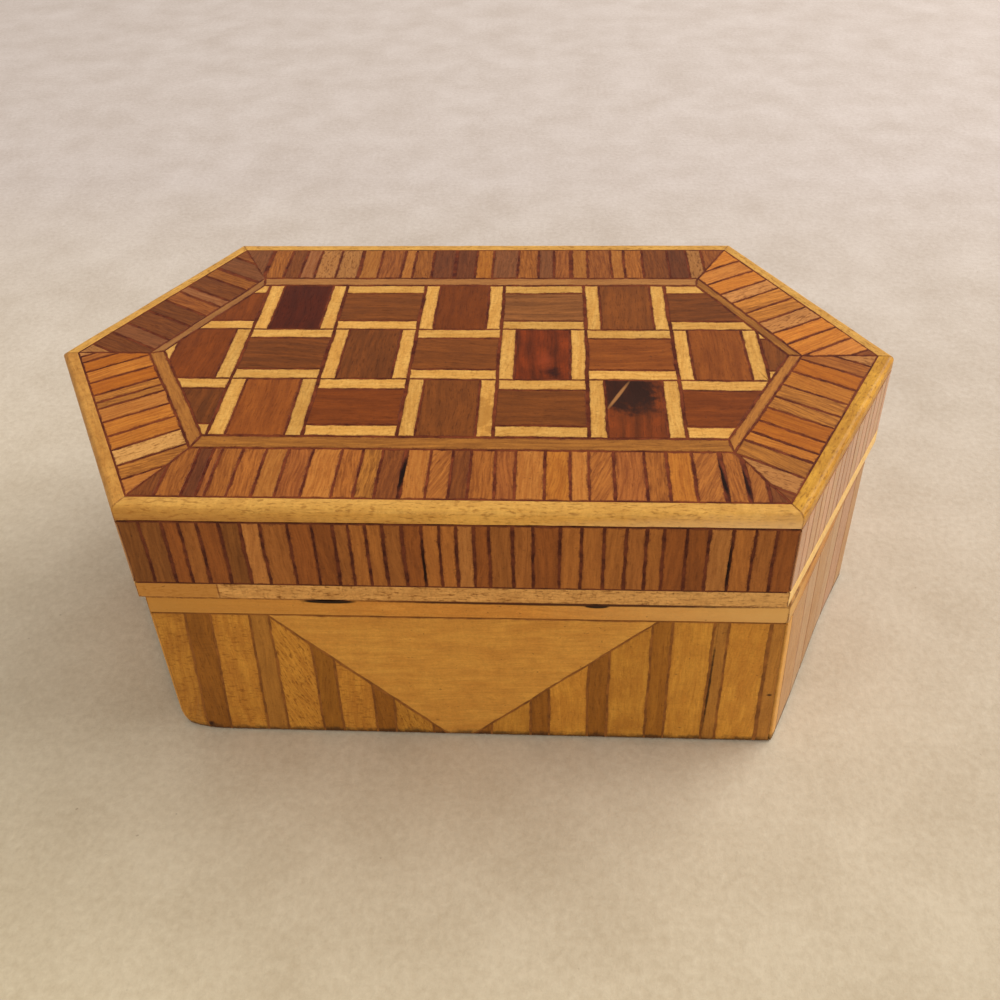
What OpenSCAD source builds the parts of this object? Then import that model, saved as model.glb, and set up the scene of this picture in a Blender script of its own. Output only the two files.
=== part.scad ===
// Six-sided trinket box with a hinged lid.
// The walls and the lid are boards, and every outer face is a mosaic of small woods:
// staves and an inverted triangle on the long sides of the base, broad staves on its ends,
// a strip band and a mitred edging round the lid, and on top a cross-band, a stringing
// line and a basket-weave panel.
// X runs along the box, Y to the back, Z up, with the origin in the middle of the bottom.

/* [Box] */
// Length of the lid, from corner to corner
lid_length = 152; // [120:1:220]
// Depth of the lid, from front to back
lid_depth = 82.2; // [66:0.1:100]
// Angle between a long side and the end wall beside it
end_angle = 60; // [55:1:65]
// Height of the closed box
box_height = 56; // [46:1:90]
// Height of the base, from the floor to the seam
base_height = 36; // [26:1:44]
// How far the lid stands out past the base, all round
overhang = 0.9; // [0.6:0.1:1.4]
// Gap at the seam when the lid is shut
seam = 0.1; // [0.05:0.05:0.3]

/* [Boards] */
// Thickness of the wall boards
wall = 3.8; // [3:0.1:6]
// Thickness of the bottom board
bottom_board_t = 2.6; // [2:0.1:5]
// Depth of the rebate in the walls that the bottom board sits in
rebate = 1.6; // [1:0.1:2.4]
// Thickness of the board that closes the lid
lid_board_t = 3.4; // [2.4:0.1:5]

/* [Facing woods] */
// Thickness of the staves and strips on the base
facing = 1.2; // [0.8:0.1:2]
// Thickness of the woods on top of the lid
top_facing = 1.2; // [0.8:0.1:2]
// Width of the glue line between neighbouring pieces
glue_line = 0.25; // [0.15:0.05:0.4]

/* [Base sides] */
// Height at which the staves start, so that the boards alone stand on the floor
stave_bottom = 0.3; // [0.1:0.1:1]
// Height of the plain strip along the top of the base
rim_strip_h = 4.6; // [3:0.1:8]
// Width of the inverted triangle at its top
triangle_w = 64; // [40:1:76]
// Width of the triangle's cut-off tip
triangle_tip_w = 4.5; // [2:0.1:8]
// Shift of the triangle's top from the middle of its side
triangle_shift = 0.2; // [-4:0.1:4]
// Shift of the triangle's tip from the middle of its side
triangle_tip_shift = -1.3; // [-6:0.1:6]

/* [Nail nicks] */
// Widths of the two nicks in the front of the rim, left and right
nick_w = [9.3, 3.2]; // [2:0.1:12]
// Depths of the two nicks, left and right
nick_depth = [1.15, 0.95]; // [0.2:0.05:1.5]
// Places of the two nicks along the front, from its middle
nick_x = [-21.3, 22.1]; // [-32:0.1:32]

/* [Lid sides] */
// Height of the plain strip along the bottom of the lid
lip_strip_h = 3.3; // [2:0.1:5]
// Width of the edging, seen from above
edging_w = 2.5; // [1.8:0.1:4]
// Height of the edging, seen from the side
edging_h = 2.8; // [2.4:0.1:4]
// Radius along the outer top edge of the edging
edging_r = 0.9; // [0.3:0.1:1.4]

/* [Lid top] */
// Width of the cross-band
cross_band_w = 11.4; // [8:0.1:14]
// Widths of the stringing line along the front and the back
long_stringing_w = [2.9, 2.5]; // [1.4:0.1:3.4]
// Widths of the stringing line along the four ends, going round from the right front one
end_stringing_w = [1.8, 1.7, 1.6, 2.3]; // [1.2:0.1:3]
// Rows of squares in the basket weave, from front to back
weave_rows = 3; // [2:1:4]
// Width of the light strips in a square
light_strip_w = 2.7; // [1.8:0.1:3]
// Shift of the weave along the box, from a joint on the middle line
weave_shift = 5.3; // [0:0.1:10]

/* [Hinges] */
// Length of a hinge
hinge_length = 16; // [12:0.5:24]
// Distance between the middles of the two hinges
hinge_spacing = 62; // [40:1:78]
// Outer diameter of the knuckles
knuckle_d = 3; // [2.6:0.1:4]
// Diameter of the pin
pin_d = 1.2; // [0.8:0.1:1.6]
// How far the pin's middle stands behind the base
pin_out = 0.15; // [0.1:0.05:0.4]
// Depth of a leaf, from the pin's middle
leaf_depth = 4.2; // [3.8:0.1:4.6]
// Thickness of a leaf
leaf_t = 0.8; // [0.6:0.1:1]
// Distance between the two screws of a leaf
screw_spacing = 9; // [6:0.5:14]
// Diameter of a screw's head
screw_head_d = 2; // [1.6:0.1:2.2]
// Diameter of a screw's shank
screw_d = 1.2; // [0.8:0.1:1.4]
// Length of a screw
screw_length = 4; // [3:0.5:6]
// Radial clearance of the pin in the lid's knuckle
pin_clearance = 0.04; // [0.02:0.01:0.1]
// Clearance between knuckles, and between a knuckle and what it turns past
knuckle_clearance = 0.15; // [0.1:0.05:0.3]

/* [Hidden] */
$fn = 64;
// Length by which a cutting shape runs past what it cuts
past = 1;

// Distances in from the lid's outline
lid_facing = overhang + facing;
inner_face = lid_facing + wall;
cross_band_in = edging_w + glue_line;
stringing_in = cross_band_in + cross_band_w + glue_line;
stringing_out = [for (w = [
    long_stringing_w[0], end_stringing_w[0], end_stringing_w[1],
    long_stringing_w[1], end_stringing_w[2], end_stringing_w[3]
]) stringing_in + w];
panel_in = [for (inset = stringing_out) inset + glue_line];

// Heights above the floor
stave_top = base_height - rim_strip_h - glue_line;
lid_bottom = base_height + seam;
band_bottom = lid_bottom + lip_strip_h + glue_line;
edging_bottom = box_height - edging_h;
band_top = edging_bottom - glue_line;
facing_bottom = box_height - top_facing;
board_bottom = facing_bottom - lid_board_t;

// Widths of the staves along a long side, light and dark in turn, scaled to fit
long_staves = [
    5.8, 4.3, 6.6, 3.3, 6.3, 3.6, 6.1, 3.4, 6.4, 3.3, 3.9,
    3.4, 7, 3.3, 6.7, 3.5, 6.8, 3.3, 6.7, 2.4, 6.3, 1.6
];
// Widths of the staves along an end, from its long side on, a light one first
end_staves = [2.4, 8.4, 7.2, 8.8, 6.4, 7.6, 5.2];
// Widths of the strips in the band round the lid, along a long side and along an end
long_side_strips = [
    3.6, 3.6, 2.7, 2.9, 3.4, 3.3, 3.1, 4.3, 3.7, 3.3, 2.4, 2.7, 2.6, 3, 3, 2.7, 2.6,
    2.7, 2.4, 3.6, 3.1, 4.1, 3.3, 3.5, 3.3, 3.1, 2.6, 3.5, 3.3, 3.5, 3.4, 3.2, 3.5
];
end_side_strips = [2.9, 3.4, 3.1, 2.6, 3.3, 3, 3.6, 2.7, 3.1, 3.4, 2.8, 3.3, 2.9, 3.5, 3.4];
// Widths of the cross-band strips of each side, going round from the front
cross_strips = [
    [
        4.3, 4.2, 2.3, 1.4, 3.4, 3.9, 3.6, 4, 4.7, 3.5, 3.2, 3.8, 4, 3.5,
        3, 4, 3.2, 4.6, 4, 2.9, 3.9, 4.9, 3.5, 4, 4.4, 3.4, 3, 2.8
    ],
    [2.2, 4.2, 4, 2.5, 3.3, 4.1, 3.5, 3.9, 4.5, 4.3, 3.8, 3.9],
    [2.3, 4.3, 4.1, 3.9, 4.2, 3.8, 4.2, 3.6, 4.2, 4.5, 5.1],
    [
        4.9, 3.2, 3.9, 5.3, 3.8, 2.7, 4.8, 3.4, 3.6, 3.1, 4.2, 5.2, 3.5,
        4.3, 4.7, 3.9, 2.4, 4.8, 4.1, 4.6, 4.3, 3.1, 3.3, 4.1, 6.2
    ],
    [3.4, 5.2, 3.5, 4.8, 2.5, 3.7, 4.3, 5.2, 3.7, 4.6, 3.3],
    [1.7, 2.1, 3.4, 3.9, 4.1, 2.4, 2, 4.2, 4.2, 4, 4.3, 3.8, 4.1]
];

// Place of the hinge pins
pin_y = lid_depth / 2 - overhang + pin_out;
pin_z = base_height + seam / 2;
knuckle_r = knuckle_d / 2;
knuckle_length = (hinge_length - 2 * knuckle_clearance) / 3;
screw_in = knuckle_r + knuckle_clearance + screw_head_d / 2 + 0.1;
countersink = (screw_head_d - screw_d) / 2;
slot_w = 0.3;
slot_depth = 0.25;

SIDES = ["front", "right_front", "right_back", "back", "left_back", "left_front"];
FRONT = 0;
BACK = 3;

// Directions of the six sides, going round from the front, and their distances from the middle
DIRECTIONS = [0, end_angle, 180 - end_angle, 180, 180 + end_angle, -end_angle];
function outward(i) = [sin(DIRECTIONS[i]), -cos(DIRECTIONS[i])];
function reach(i) = i % 3 == 0 ? lid_depth / 2 : lid_length / 2 * sin(end_angle);

// Corner before side i of the lid's outline, drawn in by one distance or by six, one a side
function corner(i, inset) =
    let (
        a = (i + 5) % 6,
        b = i % 6,
        u = outward(a),
        v = outward(b),
        p = reach(a) - (is_list(inset) ? inset[a] : inset),
        q = reach(b) - (is_list(inset) ? inset[b] : inset)
    )
    [p * v.y - q * u.y, q * u.x - p * v.x] / (u.x * v.y - u.y * v.x);
function outline(inset) = [for (i = [0:5]) corner(i, inset)];

// Each side has a frame of its own: X along the side, Y inward, origin in its middle
function side_mid(i) = (corner(i, 0) + corner(i + 1, 0)) / 2;
function side_dir(i) =
    let (v = corner(i + 1, 0) - corner(i, 0))
    v / norm(v);
function side_length(i, inset) = norm(corner(i + 1, inset) - corner(i, inset));
function in_side(i, p) =
    let (v = p - side_mid(i), u = side_dir(i))
    [v * u, v * [-u.y, u.x]];

module at_side(i) {
    translate(side_mid(i)) rotate(atan2(side_dir(i).y, side_dir(i).x)) children();
}

// Plan of one side's piece between two insets, mitred at both ends
module mitred(i, outer, inner, gap = 0) {
    polygon([
        in_side(i, corner(i, outer)) + [gap, 0],
        in_side(i, corner(i + 1, outer)) - [gap, 0],
        in_side(i, corner(i + 1, inner)) - [gap, 0],
        in_side(i, corner(i, inner)) + [gap, 0]
    ]);
}

module mitred_board(i, outer, inner, bottom, top, gap = 0) {
    at_side(i) translate([0, 0, bottom]) linear_extrude(top - bottom) mitred(i, outer, inner, gap);
}

// The part of a mitred board between two places along its side, less half a glue line each
module mitred_slice(i, outer, inner, bottom, top, from, to) {
    at_side(i) translate([0, 0, bottom]) linear_extrude(top - bottom) intersection() {
        mitred(i, outer, inner, glue_line / 2);
        translate([from + glue_line / 2, -past])
            square([to - from - glue_line, inner + 2 * past]);
    }
}

// Edges of pieces that fill a length, in proportion to their widths
function sum_to(widths, k) = k == 0 ? 0 : widths[k - 1] + sum_to(widths, k - 1);
function row_edges(length, widths) =
    let (total = sum_to(widths, len(widths)))
    [for (k = [0:len(widths)]) length * (sum_to(widths, k) / total - 0.5)];
function reversed(list) = [for (k = [len(list) - 1:-1:0]) list[k]];

module strip_row(i, outer, inner, bottom, top, edges) {
    for (k = [0:len(edges) - 2])
        mitred_slice(i, outer, inner, bottom, top, edges[k], edges[k + 1]);
}

// Base boards
module bottom_shape() {
    linear_extrude(bottom_board_t) polygon(outline(inner_face - rebate));
}

module bottom_board() {
    color("burlywood") bottom_shape();
}

module base_wall(i) {
    color("burlywood") difference() {
        mitred_board(i, lid_facing, inner_face, 0, base_height);
        bottom_shape();
        if (i == BACK) base_hinge_recess();
    }
}

// Plain strip along the top of one base side
module base_rim_strip(i) {
    color("goldenrod") difference() {
        mitred_board(i, overhang, lid_facing, base_height - rim_strip_h, base_height);
        if (i == FRONT) nail_nicks();
        if (i == BACK) base_hinge_recess();
    }
}

// Shallow rounded nicks for a finger nail, cut across the front of the rim
module nail_nicks() {
    for (k = [0, 1]) {
        r = (pow(nick_w[k] / 2, 2) + pow(nick_depth[k], 2)) / (2 * nick_depth[k]);
        translate([nick_x[k], lid_facing - lid_depth / 2 + past,
                base_height - nick_depth[k] + r])
            rotate([90, 0, 0]) cylinder(r = r, h = facing + 2 * past);
    }
}

// Staves of the base
function is_long(i) = i == FRONT || i == BACK;
// An end's row starts at the long side, so every other one runs the other way
function stave_widths(i) =
    is_long(i) ? long_staves : i % 3 == 1 ? end_staves : reversed(end_staves);

// The staves of one side that have these places in its row
module staves(i, places) {
    edges = row_edges(side_length(i, overhang), stave_widths(i));
    for (k = places)
        difference() {
            mitred_slice(i, overhang, lid_facing, stave_bottom, stave_top, edges[k], edges[k + 1]);
            if (is_long(i)) at_side(i) triangle(glue_line, past);
        }
}

// The inverted triangle in its side's frame, wider by a glue line where it cuts the staves
module triangle(grow, more) {
    left = [triangle_shift - triangle_w / 2, triangle_tip_shift - triangle_tip_w / 2];
    right = [triangle_shift + triangle_w / 2, triangle_tip_shift + triangle_tip_w / 2];
    height = stave_top - stave_bottom;
    left_grow = grow * norm([left[1] - left[0], height]) / height;
    right_grow = grow * norm([right[1] - right[0], height]) / height;
    translate([0, lid_facing + more, 0]) rotate([90, 0, 0]) linear_extrude(facing + 2 * more)
        polygon([
            [left[0] - left_grow, stave_top],
            [left[1] - left_grow, stave_bottom],
            [right[1] + right_grow, stave_bottom],
            [right[0] + right_grow, stave_top]
        ]);
}

module base_light_staves() {
    color("goldenrod") for (i = [0:5])
        staves(i, is_long(i) ? [0:2:len(long_staves) - 1] : i % 3 == 1 ? [0] : [len(end_staves) - 1]);
}

module base_dark_staves() {
    color("saddlebrown") for (i = [FRONT, BACK]) staves(i, [1:2:len(long_staves) - 1]);
}

module base_end_staves() {
    color("sienna") for (i = [1, 2, 4, 5])
        staves(i, i % 3 == 1 ? [1:len(end_staves) - 1] : [0:len(end_staves) - 2]);
}

module side_triangle(i) {
    color("goldenrod") at_side(i) triangle(0, 0);
}

// Lid boards
module lid_board() {
    color("burlywood") union() {
        translate([0, 0, board_bottom])
            linear_extrude(edging_bottom - board_bottom) polygon(outline(lid_facing));
        translate([0, 0, board_bottom]) linear_extrude(lid_board_t) polygon(outline(edging_w));
    }
}

module lid_wall(i) {
    color("burlywood") difference() {
        mitred_board(i, lid_facing, inner_face, lid_bottom, board_bottom);
        if (i == BACK) lid_hinge_recess();
    }
}

// Plain strip along the bottom of one lid side
module lid_lip_strip(i) {
    color("goldenrod") difference() {
        mitred_board(i, 0, lid_facing, lid_bottom, lid_bottom + lip_strip_h);
        if (i == BACK) lid_hinge_recess();
    }
}

module lid_side_band(i) {
    count = len(end_side_strips);
    widths = i == FRONT ? long_side_strips
        : i == BACK ? reversed(long_side_strips)
        : [for (k = [0:count - 1]) end_side_strips[(k + 4 * i) % count]];
    edges = row_edges(side_length(i, 0), widths);
    color("sienna") strip_row(i, 0, lid_facing, band_bottom, band_top, edges);
}

// Edging with a rounded outer edge, mitred at the corners
module edging_profile() {
    translate([edging_r, 0]) square([edging_w - edging_r, edging_h]);
    square([edging_w, edging_h - edging_r]);
    translate([edging_r, edging_h - edging_r]) circle(r = edging_r);
}

module lid_edging(i) {
    length = side_length(i, 0);
    color("gold") intersection() {
        mitred_board(i, 0, edging_w, edging_bottom, box_height);
        at_side(i) translate([-length / 2, 0, edging_bottom])
            rotate([90, 0, 90]) linear_extrude(length) edging_profile();
    }
}

// Woods on top of the lid
module lid_cross_band(i) {
    edges = row_edges(side_length(i, cross_band_in), cross_strips[i]);
    color("chocolate")
        strip_row(i, cross_band_in, cross_band_in + cross_band_w, facing_bottom, box_height, edges);
}

module lid_stringing() {
    color("peru") for (i = [0:5])
        mitred_board(i, stringing_in, stringing_out, facing_bottom, box_height, glue_line / 2);
}

// Squares of the weave, which fill the panel from front to back. Columns are counted from
// the joint at weave_shift
panel_front = corner(FRONT, panel_in).y;
weave_square = (corner(BACK, panel_in).y - panel_front) / weave_rows;
dark_block_w = weave_square - 3 * glue_line - 2 * light_strip_w;
weave_columns = [
    floor((corner(5, panel_in).x - weave_shift) / weave_square)
    : ceil((corner(2, panel_in).x - weave_shift) / weave_square) - 1
];

// One square of the weave, three pieces across: light, dark, light
module weave_square_pieces(dark) {
    starts = [glue_line / 2, glue_line * 1.5 + light_strip_w,
        glue_line * 2.5 + light_strip_w + dark_block_w];
    for (k = dark ? [1] : [0, 2])
        translate([starts[k], glue_line / 2])
            square([dark ? dark_block_w : light_strip_w, weave_square - glue_line]);
}

// All squares inside the panel, every other one turned a quarter
module weave(dark) {
    translate([0, 0, facing_bottom]) linear_extrude(top_facing)
        for (row = [0:weave_rows - 1], column = weave_columns)
            intersection() {
                polygon(outline(panel_in));
                translate([weave_shift + (column + 0.5) * weave_square,
                        panel_front + (row + 0.5) * weave_square])
                    rotate((row + column) % 2 == 0 ? 90 : 0)
                        translate([-weave_square / 2, -weave_square / 2]) weave_square_pieces(dark);
            }
}

module weave_dark_blocks() {
    color("brown") weave(true);
}

module weave_light_strips() {
    color("khaki") weave(false);
}

// Hinges. A leaf is drawn for the base; the lid's is the same leaf, mirrored at the pin
module at_hinges() {
    for (side = [-1, 1]) translate([side * hinge_spacing / 2, pin_y, pin_z]) children();
}

module along_pin(r, length, start) {
    translate([start, 0, 0]) rotate([0, 90, 0]) cylinder(r = r, h = length);
}

module at_screws() {
    for (side = [-1, 1]) translate([side * screw_spacing / 2, -screw_in, 0]) children();
}

// Starts of the three knuckles along the pin
function knuckle_start(k) = -hinge_length / 2 + k * (knuckle_length + knuckle_clearance);

module leaf_plate() {
    translate([-hinge_length / 2, -leaf_depth, -seam / 2 - leaf_t])
        cube([hinge_length, leaf_depth, leaf_t]);
}

module leaf(own, other, bore_r) {
    difference() {
        union() {
            leaf_plate();
            for (k = own) along_pin(knuckle_r, knuckle_length, knuckle_start(k));
        }
        for (k = other)
            along_pin(knuckle_r + knuckle_clearance, knuckle_length + 2 * knuckle_clearance,
                knuckle_start(k) - knuckle_clearance);
        along_pin(bore_r, hinge_length + 2 * past, -hinge_length / 2 - past);
        at_screws() screw_body();
    }
}

// A countersunk screw without its slot, its head flush with the leaf
module screw_body() {
    translate([0, 0, -seam / 2 - countersink])
        cylinder(r1 = screw_d / 2, r2 = screw_head_d / 2, h = countersink);
    translate([0, 0, -seam / 2 - screw_length])
        cylinder(r = screw_d / 2, h = screw_length - countersink / 2);
}

module screw() {
    difference() {
        screw_body();
        translate([-screw_head_d, -slot_w / 2, -seam / 2 - slot_depth])
            cube([2 * screw_head_d, slot_w, slot_depth + past]);
    }
}

// What a leaf, its screws and both sets of knuckles take out of the wood
module leaf_recess() {
    leaf_plate();
    at_screws() screw_body();
    along_pin(knuckle_r + knuckle_clearance, hinge_length + 2 * knuckle_clearance,
        -hinge_length / 2 - knuckle_clearance);
}

module base_hinge_recess() {
    at_hinges() leaf_recess();
}

module lid_hinge_recess() {
    at_hinges() mirror([0, 0, 1]) leaf_recess();
}

module base_hinge_leaves() {
    color("gold") at_hinges() leaf([0, 2], [1], pin_d / 2);
}

module lid_hinge_leaves() {
    color("gold") at_hinges() mirror([0, 0, 1]) leaf([1], [0, 2], pin_d / 2 + pin_clearance);
}

module hinge_pins() {
    color("silver") at_hinges() along_pin(pin_d / 2, hinge_length, -hinge_length / 2);
}

module base_hinge_screws() {
    color("gold") at_hinges() at_screws() screw();
}

module lid_hinge_screws() {
    color("gold") at_hinges() mirror([0, 0, 1]) at_screws() screw();
}

bottom_board();
for (i = [0:5]) base_wall(i);
for (i = [0:5]) base_rim_strip(i);
base_light_staves();
base_dark_staves();
base_end_staves();
side_triangle(FRONT);  // front_triangle
side_triangle(BACK);  // back_triangle
lid_board();
for (i = [0:5]) lid_wall(i);
for (i = [0:5]) lid_lip_strip(i);
for (i = [0:5]) lid_side_band(i);
for (i = [0:5]) lid_edging(i);
for (i = [0:5]) lid_cross_band(i);
lid_stringing();
weave_dark_blocks();
weave_light_strips();
base_hinge_leaves();
lid_hinge_leaves();
hinge_pins();
base_hinge_screws();
lid_hinge_screws();
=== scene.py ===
import math
import random

import bmesh
import bpy
import numpy as np
from mathutils import Matrix, Vector, geometry, noise


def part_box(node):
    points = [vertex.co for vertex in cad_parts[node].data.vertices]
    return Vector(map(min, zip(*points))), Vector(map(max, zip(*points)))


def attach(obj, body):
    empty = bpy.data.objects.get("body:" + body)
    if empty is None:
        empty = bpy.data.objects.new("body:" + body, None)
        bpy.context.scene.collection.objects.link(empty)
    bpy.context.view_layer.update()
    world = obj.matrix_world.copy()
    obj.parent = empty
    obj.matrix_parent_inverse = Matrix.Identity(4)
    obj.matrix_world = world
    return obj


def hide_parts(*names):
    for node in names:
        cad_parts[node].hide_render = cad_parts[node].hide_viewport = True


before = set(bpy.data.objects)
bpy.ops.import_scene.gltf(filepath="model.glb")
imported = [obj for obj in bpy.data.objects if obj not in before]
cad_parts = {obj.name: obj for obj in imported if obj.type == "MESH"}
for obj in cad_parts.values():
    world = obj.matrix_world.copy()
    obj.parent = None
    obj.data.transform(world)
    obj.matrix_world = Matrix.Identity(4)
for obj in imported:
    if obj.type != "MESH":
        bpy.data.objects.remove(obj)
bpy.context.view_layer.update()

MM = 0.001
ALONG_X, ALONG_Y, UP = Vector((1, 0, 0)), Vector((0, 1, 0)), Vector((0, 0, 1))
WELD = 1e-6
BASE, LID = "base", "lid"
SIDES = ["front", "right_front", "right_back", "back", "left_back", "left_front"]
FRONT, BACK = 0, 3
LONG_SIDES = (FRONT, BACK)
NEXT_SIDES_MEET = math.tan(math.radians(30))
DRAW_SEED = 23
WANDER_SEED = 1
noise.seed_set(WANDER_SEED)


# The box's own frame
def lid_corners():
    low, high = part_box("lid_edging_front")
    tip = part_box("lid_edging_right_front")[1].x
    x, y = high.x, -low.y
    plan = [(-x, -y), (x, -y), (tip, 0), (x, y), (-x, y), (-tip, 0)]
    return [Vector((a, b, 0)) for a, b in plan]


CORNERS = lid_corners()
RIM_LOW, RIM_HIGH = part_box("base_rim_strip_front")
SEAM = RIM_HIGH.z + 0.05 * MM


def along(i):
    """Direction of a side, going round the box anticlockwise seen from above."""
    return (CORNERS[(i + 1) % 6] - CORNERS[i % 6]).normalized()


def outward(i):
    run = along(i)
    return Vector((run.y, -run.x, 0))


def middle(i):
    return (CORNERS[i] + CORNERS[(i + 1) % 6]) / 2


def side_place(i, point):
    """How far a point is along its side, from the side's middle."""
    return (point - middle(i)).dot(along(i))


def side_length(i):
    return (CORNERS[(i + 1) % 6] - CORNERS[i]).length


def inset_plan(inset):
    """The lid's plan, drawn in all round."""
    made = []
    for k in range(6):
        before, after = outward(k - 1), outward(k)
        made.append(CORNERS[k] - (before + after) * inset / (1 + before.dot(after)))
    return made


def mitre_plane(k):
    """The plane in which two sides meet at corner k: a point and its normal."""
    return CORNERS[k % 6], (along(k - 1) + along(k)).normalized()


# Node helpers
# How a screen turns its 255 steps of a colour into light
SCREEN_STEPS, SCREEN_POWER, SCREEN_LIFT = 255, 2.4, 0.055
SCREEN_DARK, SCREEN_DARK_SLOPE = 0.04045, 12.92


def screen_light(step):
    share = step / SCREEN_STEPS
    if share < SCREEN_DARK:
        return share / SCREEN_DARK_SLOPE
    return ((share + SCREEN_LIFT) / (1 + SCREEN_LIFT)) ** SCREEN_POWER


def rgb(*steps):
    """A colour written as it shows on a screen, in linear light."""
    return tuple(screen_light(step) for step in steps)


class Nodes:
    """A short way to write a node tree: each call adds a node and gives it or its output."""

    def __init__(self, tree):
        self.tree = tree

    def put(self, kind, settings=None, values=(), **inputs):
        """Values go to the first sockets in order, inputs to the sockets of that name."""
        node = self.tree.nodes.new(kind)
        for key, setting in (settings or {}).items():
            setattr(node, key, setting)
        for socket, value in zip(node.inputs, values):
            self.feed(socket, value)
        for key, value in inputs.items():
            self.feed(node.inputs[key.replace("_", " ")], value)
        return node

    def feed(self, socket, value):
        if isinstance(value, bpy.types.Node):
            value = next(s for s in value.outputs if s.enabled)
        if isinstance(value, bpy.types.NodeSocket):
            self.tree.links.new(value, socket)
        elif value is not None:
            opaque = socket.type == "RGBA" and len(value) == 3
            socket.default_value = (*value, 1) if opaque else value

    def maths(self, operation, *values, clamp=False):
        return self.put("ShaderNodeMath", {"operation": operation, "use_clamp": clamp}, values)

    def times(self, *values, clamp=False):
        return self.maths("MULTIPLY", *values, clamp=clamp)

    def plus(self, *values, clamp=False):
        return self.maths("ADD", *values, clamp=clamp)

    def minus(self, *values):
        return self.maths("SUBTRACT", *values)

    def swing(self, value, size):
        """Turns noise from 0 to 1 into a swing of this size about nought."""
        return self.times(self.minus(value, 0.5), size)

    def vector(self, operation, *values):
        return self.put("ShaderNodeVectorMath", {"operation": operation}, values)

    def scaled(self, value, amount):
        return self.put("ShaderNodeVectorMath", {"operation": "SCALE"}, [value], Scale=amount)

    def dot(self, one, other):
        return self.vector("DOT_PRODUCT", one, other).outputs["Value"]

    def place(self):
        """The shaded point of the piece, in millimetres."""
        return self.scaled(self.put("ShaderNodeTexCoord").outputs["Object"], 1 / MM)

    def attribute(self, name, output="Vector"):
        return self.put("ShaderNodeAttribute", {"attribute_name": name}).outputs[output]

    def noise(self, place, scale, detail=2.0, roughness=0.5):
        node = self.put("ShaderNodeTexNoise", Vector=place, Scale=scale, Detail=detail,
                        Roughness=roughness)
        return node.outputs["Fac"]

    def spread(self, value, low, high, new_low=0.0, new_high=1.0):
        """Spreads the value's range from low to high over a new range, and keeps it inside."""
        return self.put("ShaderNodeMapRange", Value=value, From_Min=low, From_Max=high,
                        To_Min=new_low, To_Max=new_high)

    def patches(self, place, scale, low, high, detail=2.0, roughness=0.5):
        """Soft-edged patches: none where the noise is below low, full where above high."""
        return self.spread(self.noise(place, scale, detail, roughness), low, high)

    def blend(self, factor, one, other, way="MIX"):
        node = self.put("ShaderNodeMix", {"data_type": "RGBA", "blend_type": way})
        self.feed(node.inputs["Factor"], factor)
        colours = [s for s in node.inputs if s.type == "RGBA"]
        self.feed(colours[0], one)
        self.feed(colours[1], other)
        return next(s for s in node.outputs if s.type == "RGBA")

    def bump(self, height, strength, distance):
        return self.put("ShaderNodeBump", Height=height, Strength=strength, Distance=distance)


def new_tree(name, kind, inputs, outputs):
    """An empty node group, its helper, and what it takes and gives: names by socket kind."""
    tree = bpy.data.node_groups.new(name, kind + "NodeTree")
    for where, sockets in (("INPUT", inputs), ("OUTPUT", outputs)):
        for socket_kind, labels in sockets.items():
            for label in labels:
                tree.interface.new_socket(label, in_out=where,
                                          socket_type="NodeSocket" + socket_kind)
    start = tree.nodes.new("NodeGroupInput")
    end = tree.nodes.new("NodeGroupOutput")
    return tree, Nodes(tree), start.outputs, end.inputs


# Effects that the woods share
# How often and how far the fibres bend, how much of the figure is left across them, and how
# strongly its parts show in the shade, the roughness and the height
BENDS, BEND_SIZE, ACROSS = 0.09, 1.8, 0.3
DARKEST = (0.58, 0.5, 0.42)
FINE_SHADE, SPECKLE_SHADE = 0.3, 0.45
FINE_DULL, PORE_DULL = 0.22, 0.12
FINE_HEIGHT, PORE_DEPTH = 0.5, 0.8
STAIN_RAGGED, BOTTOM_SHADE_RAGGED = 2.2, 3.0


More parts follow.
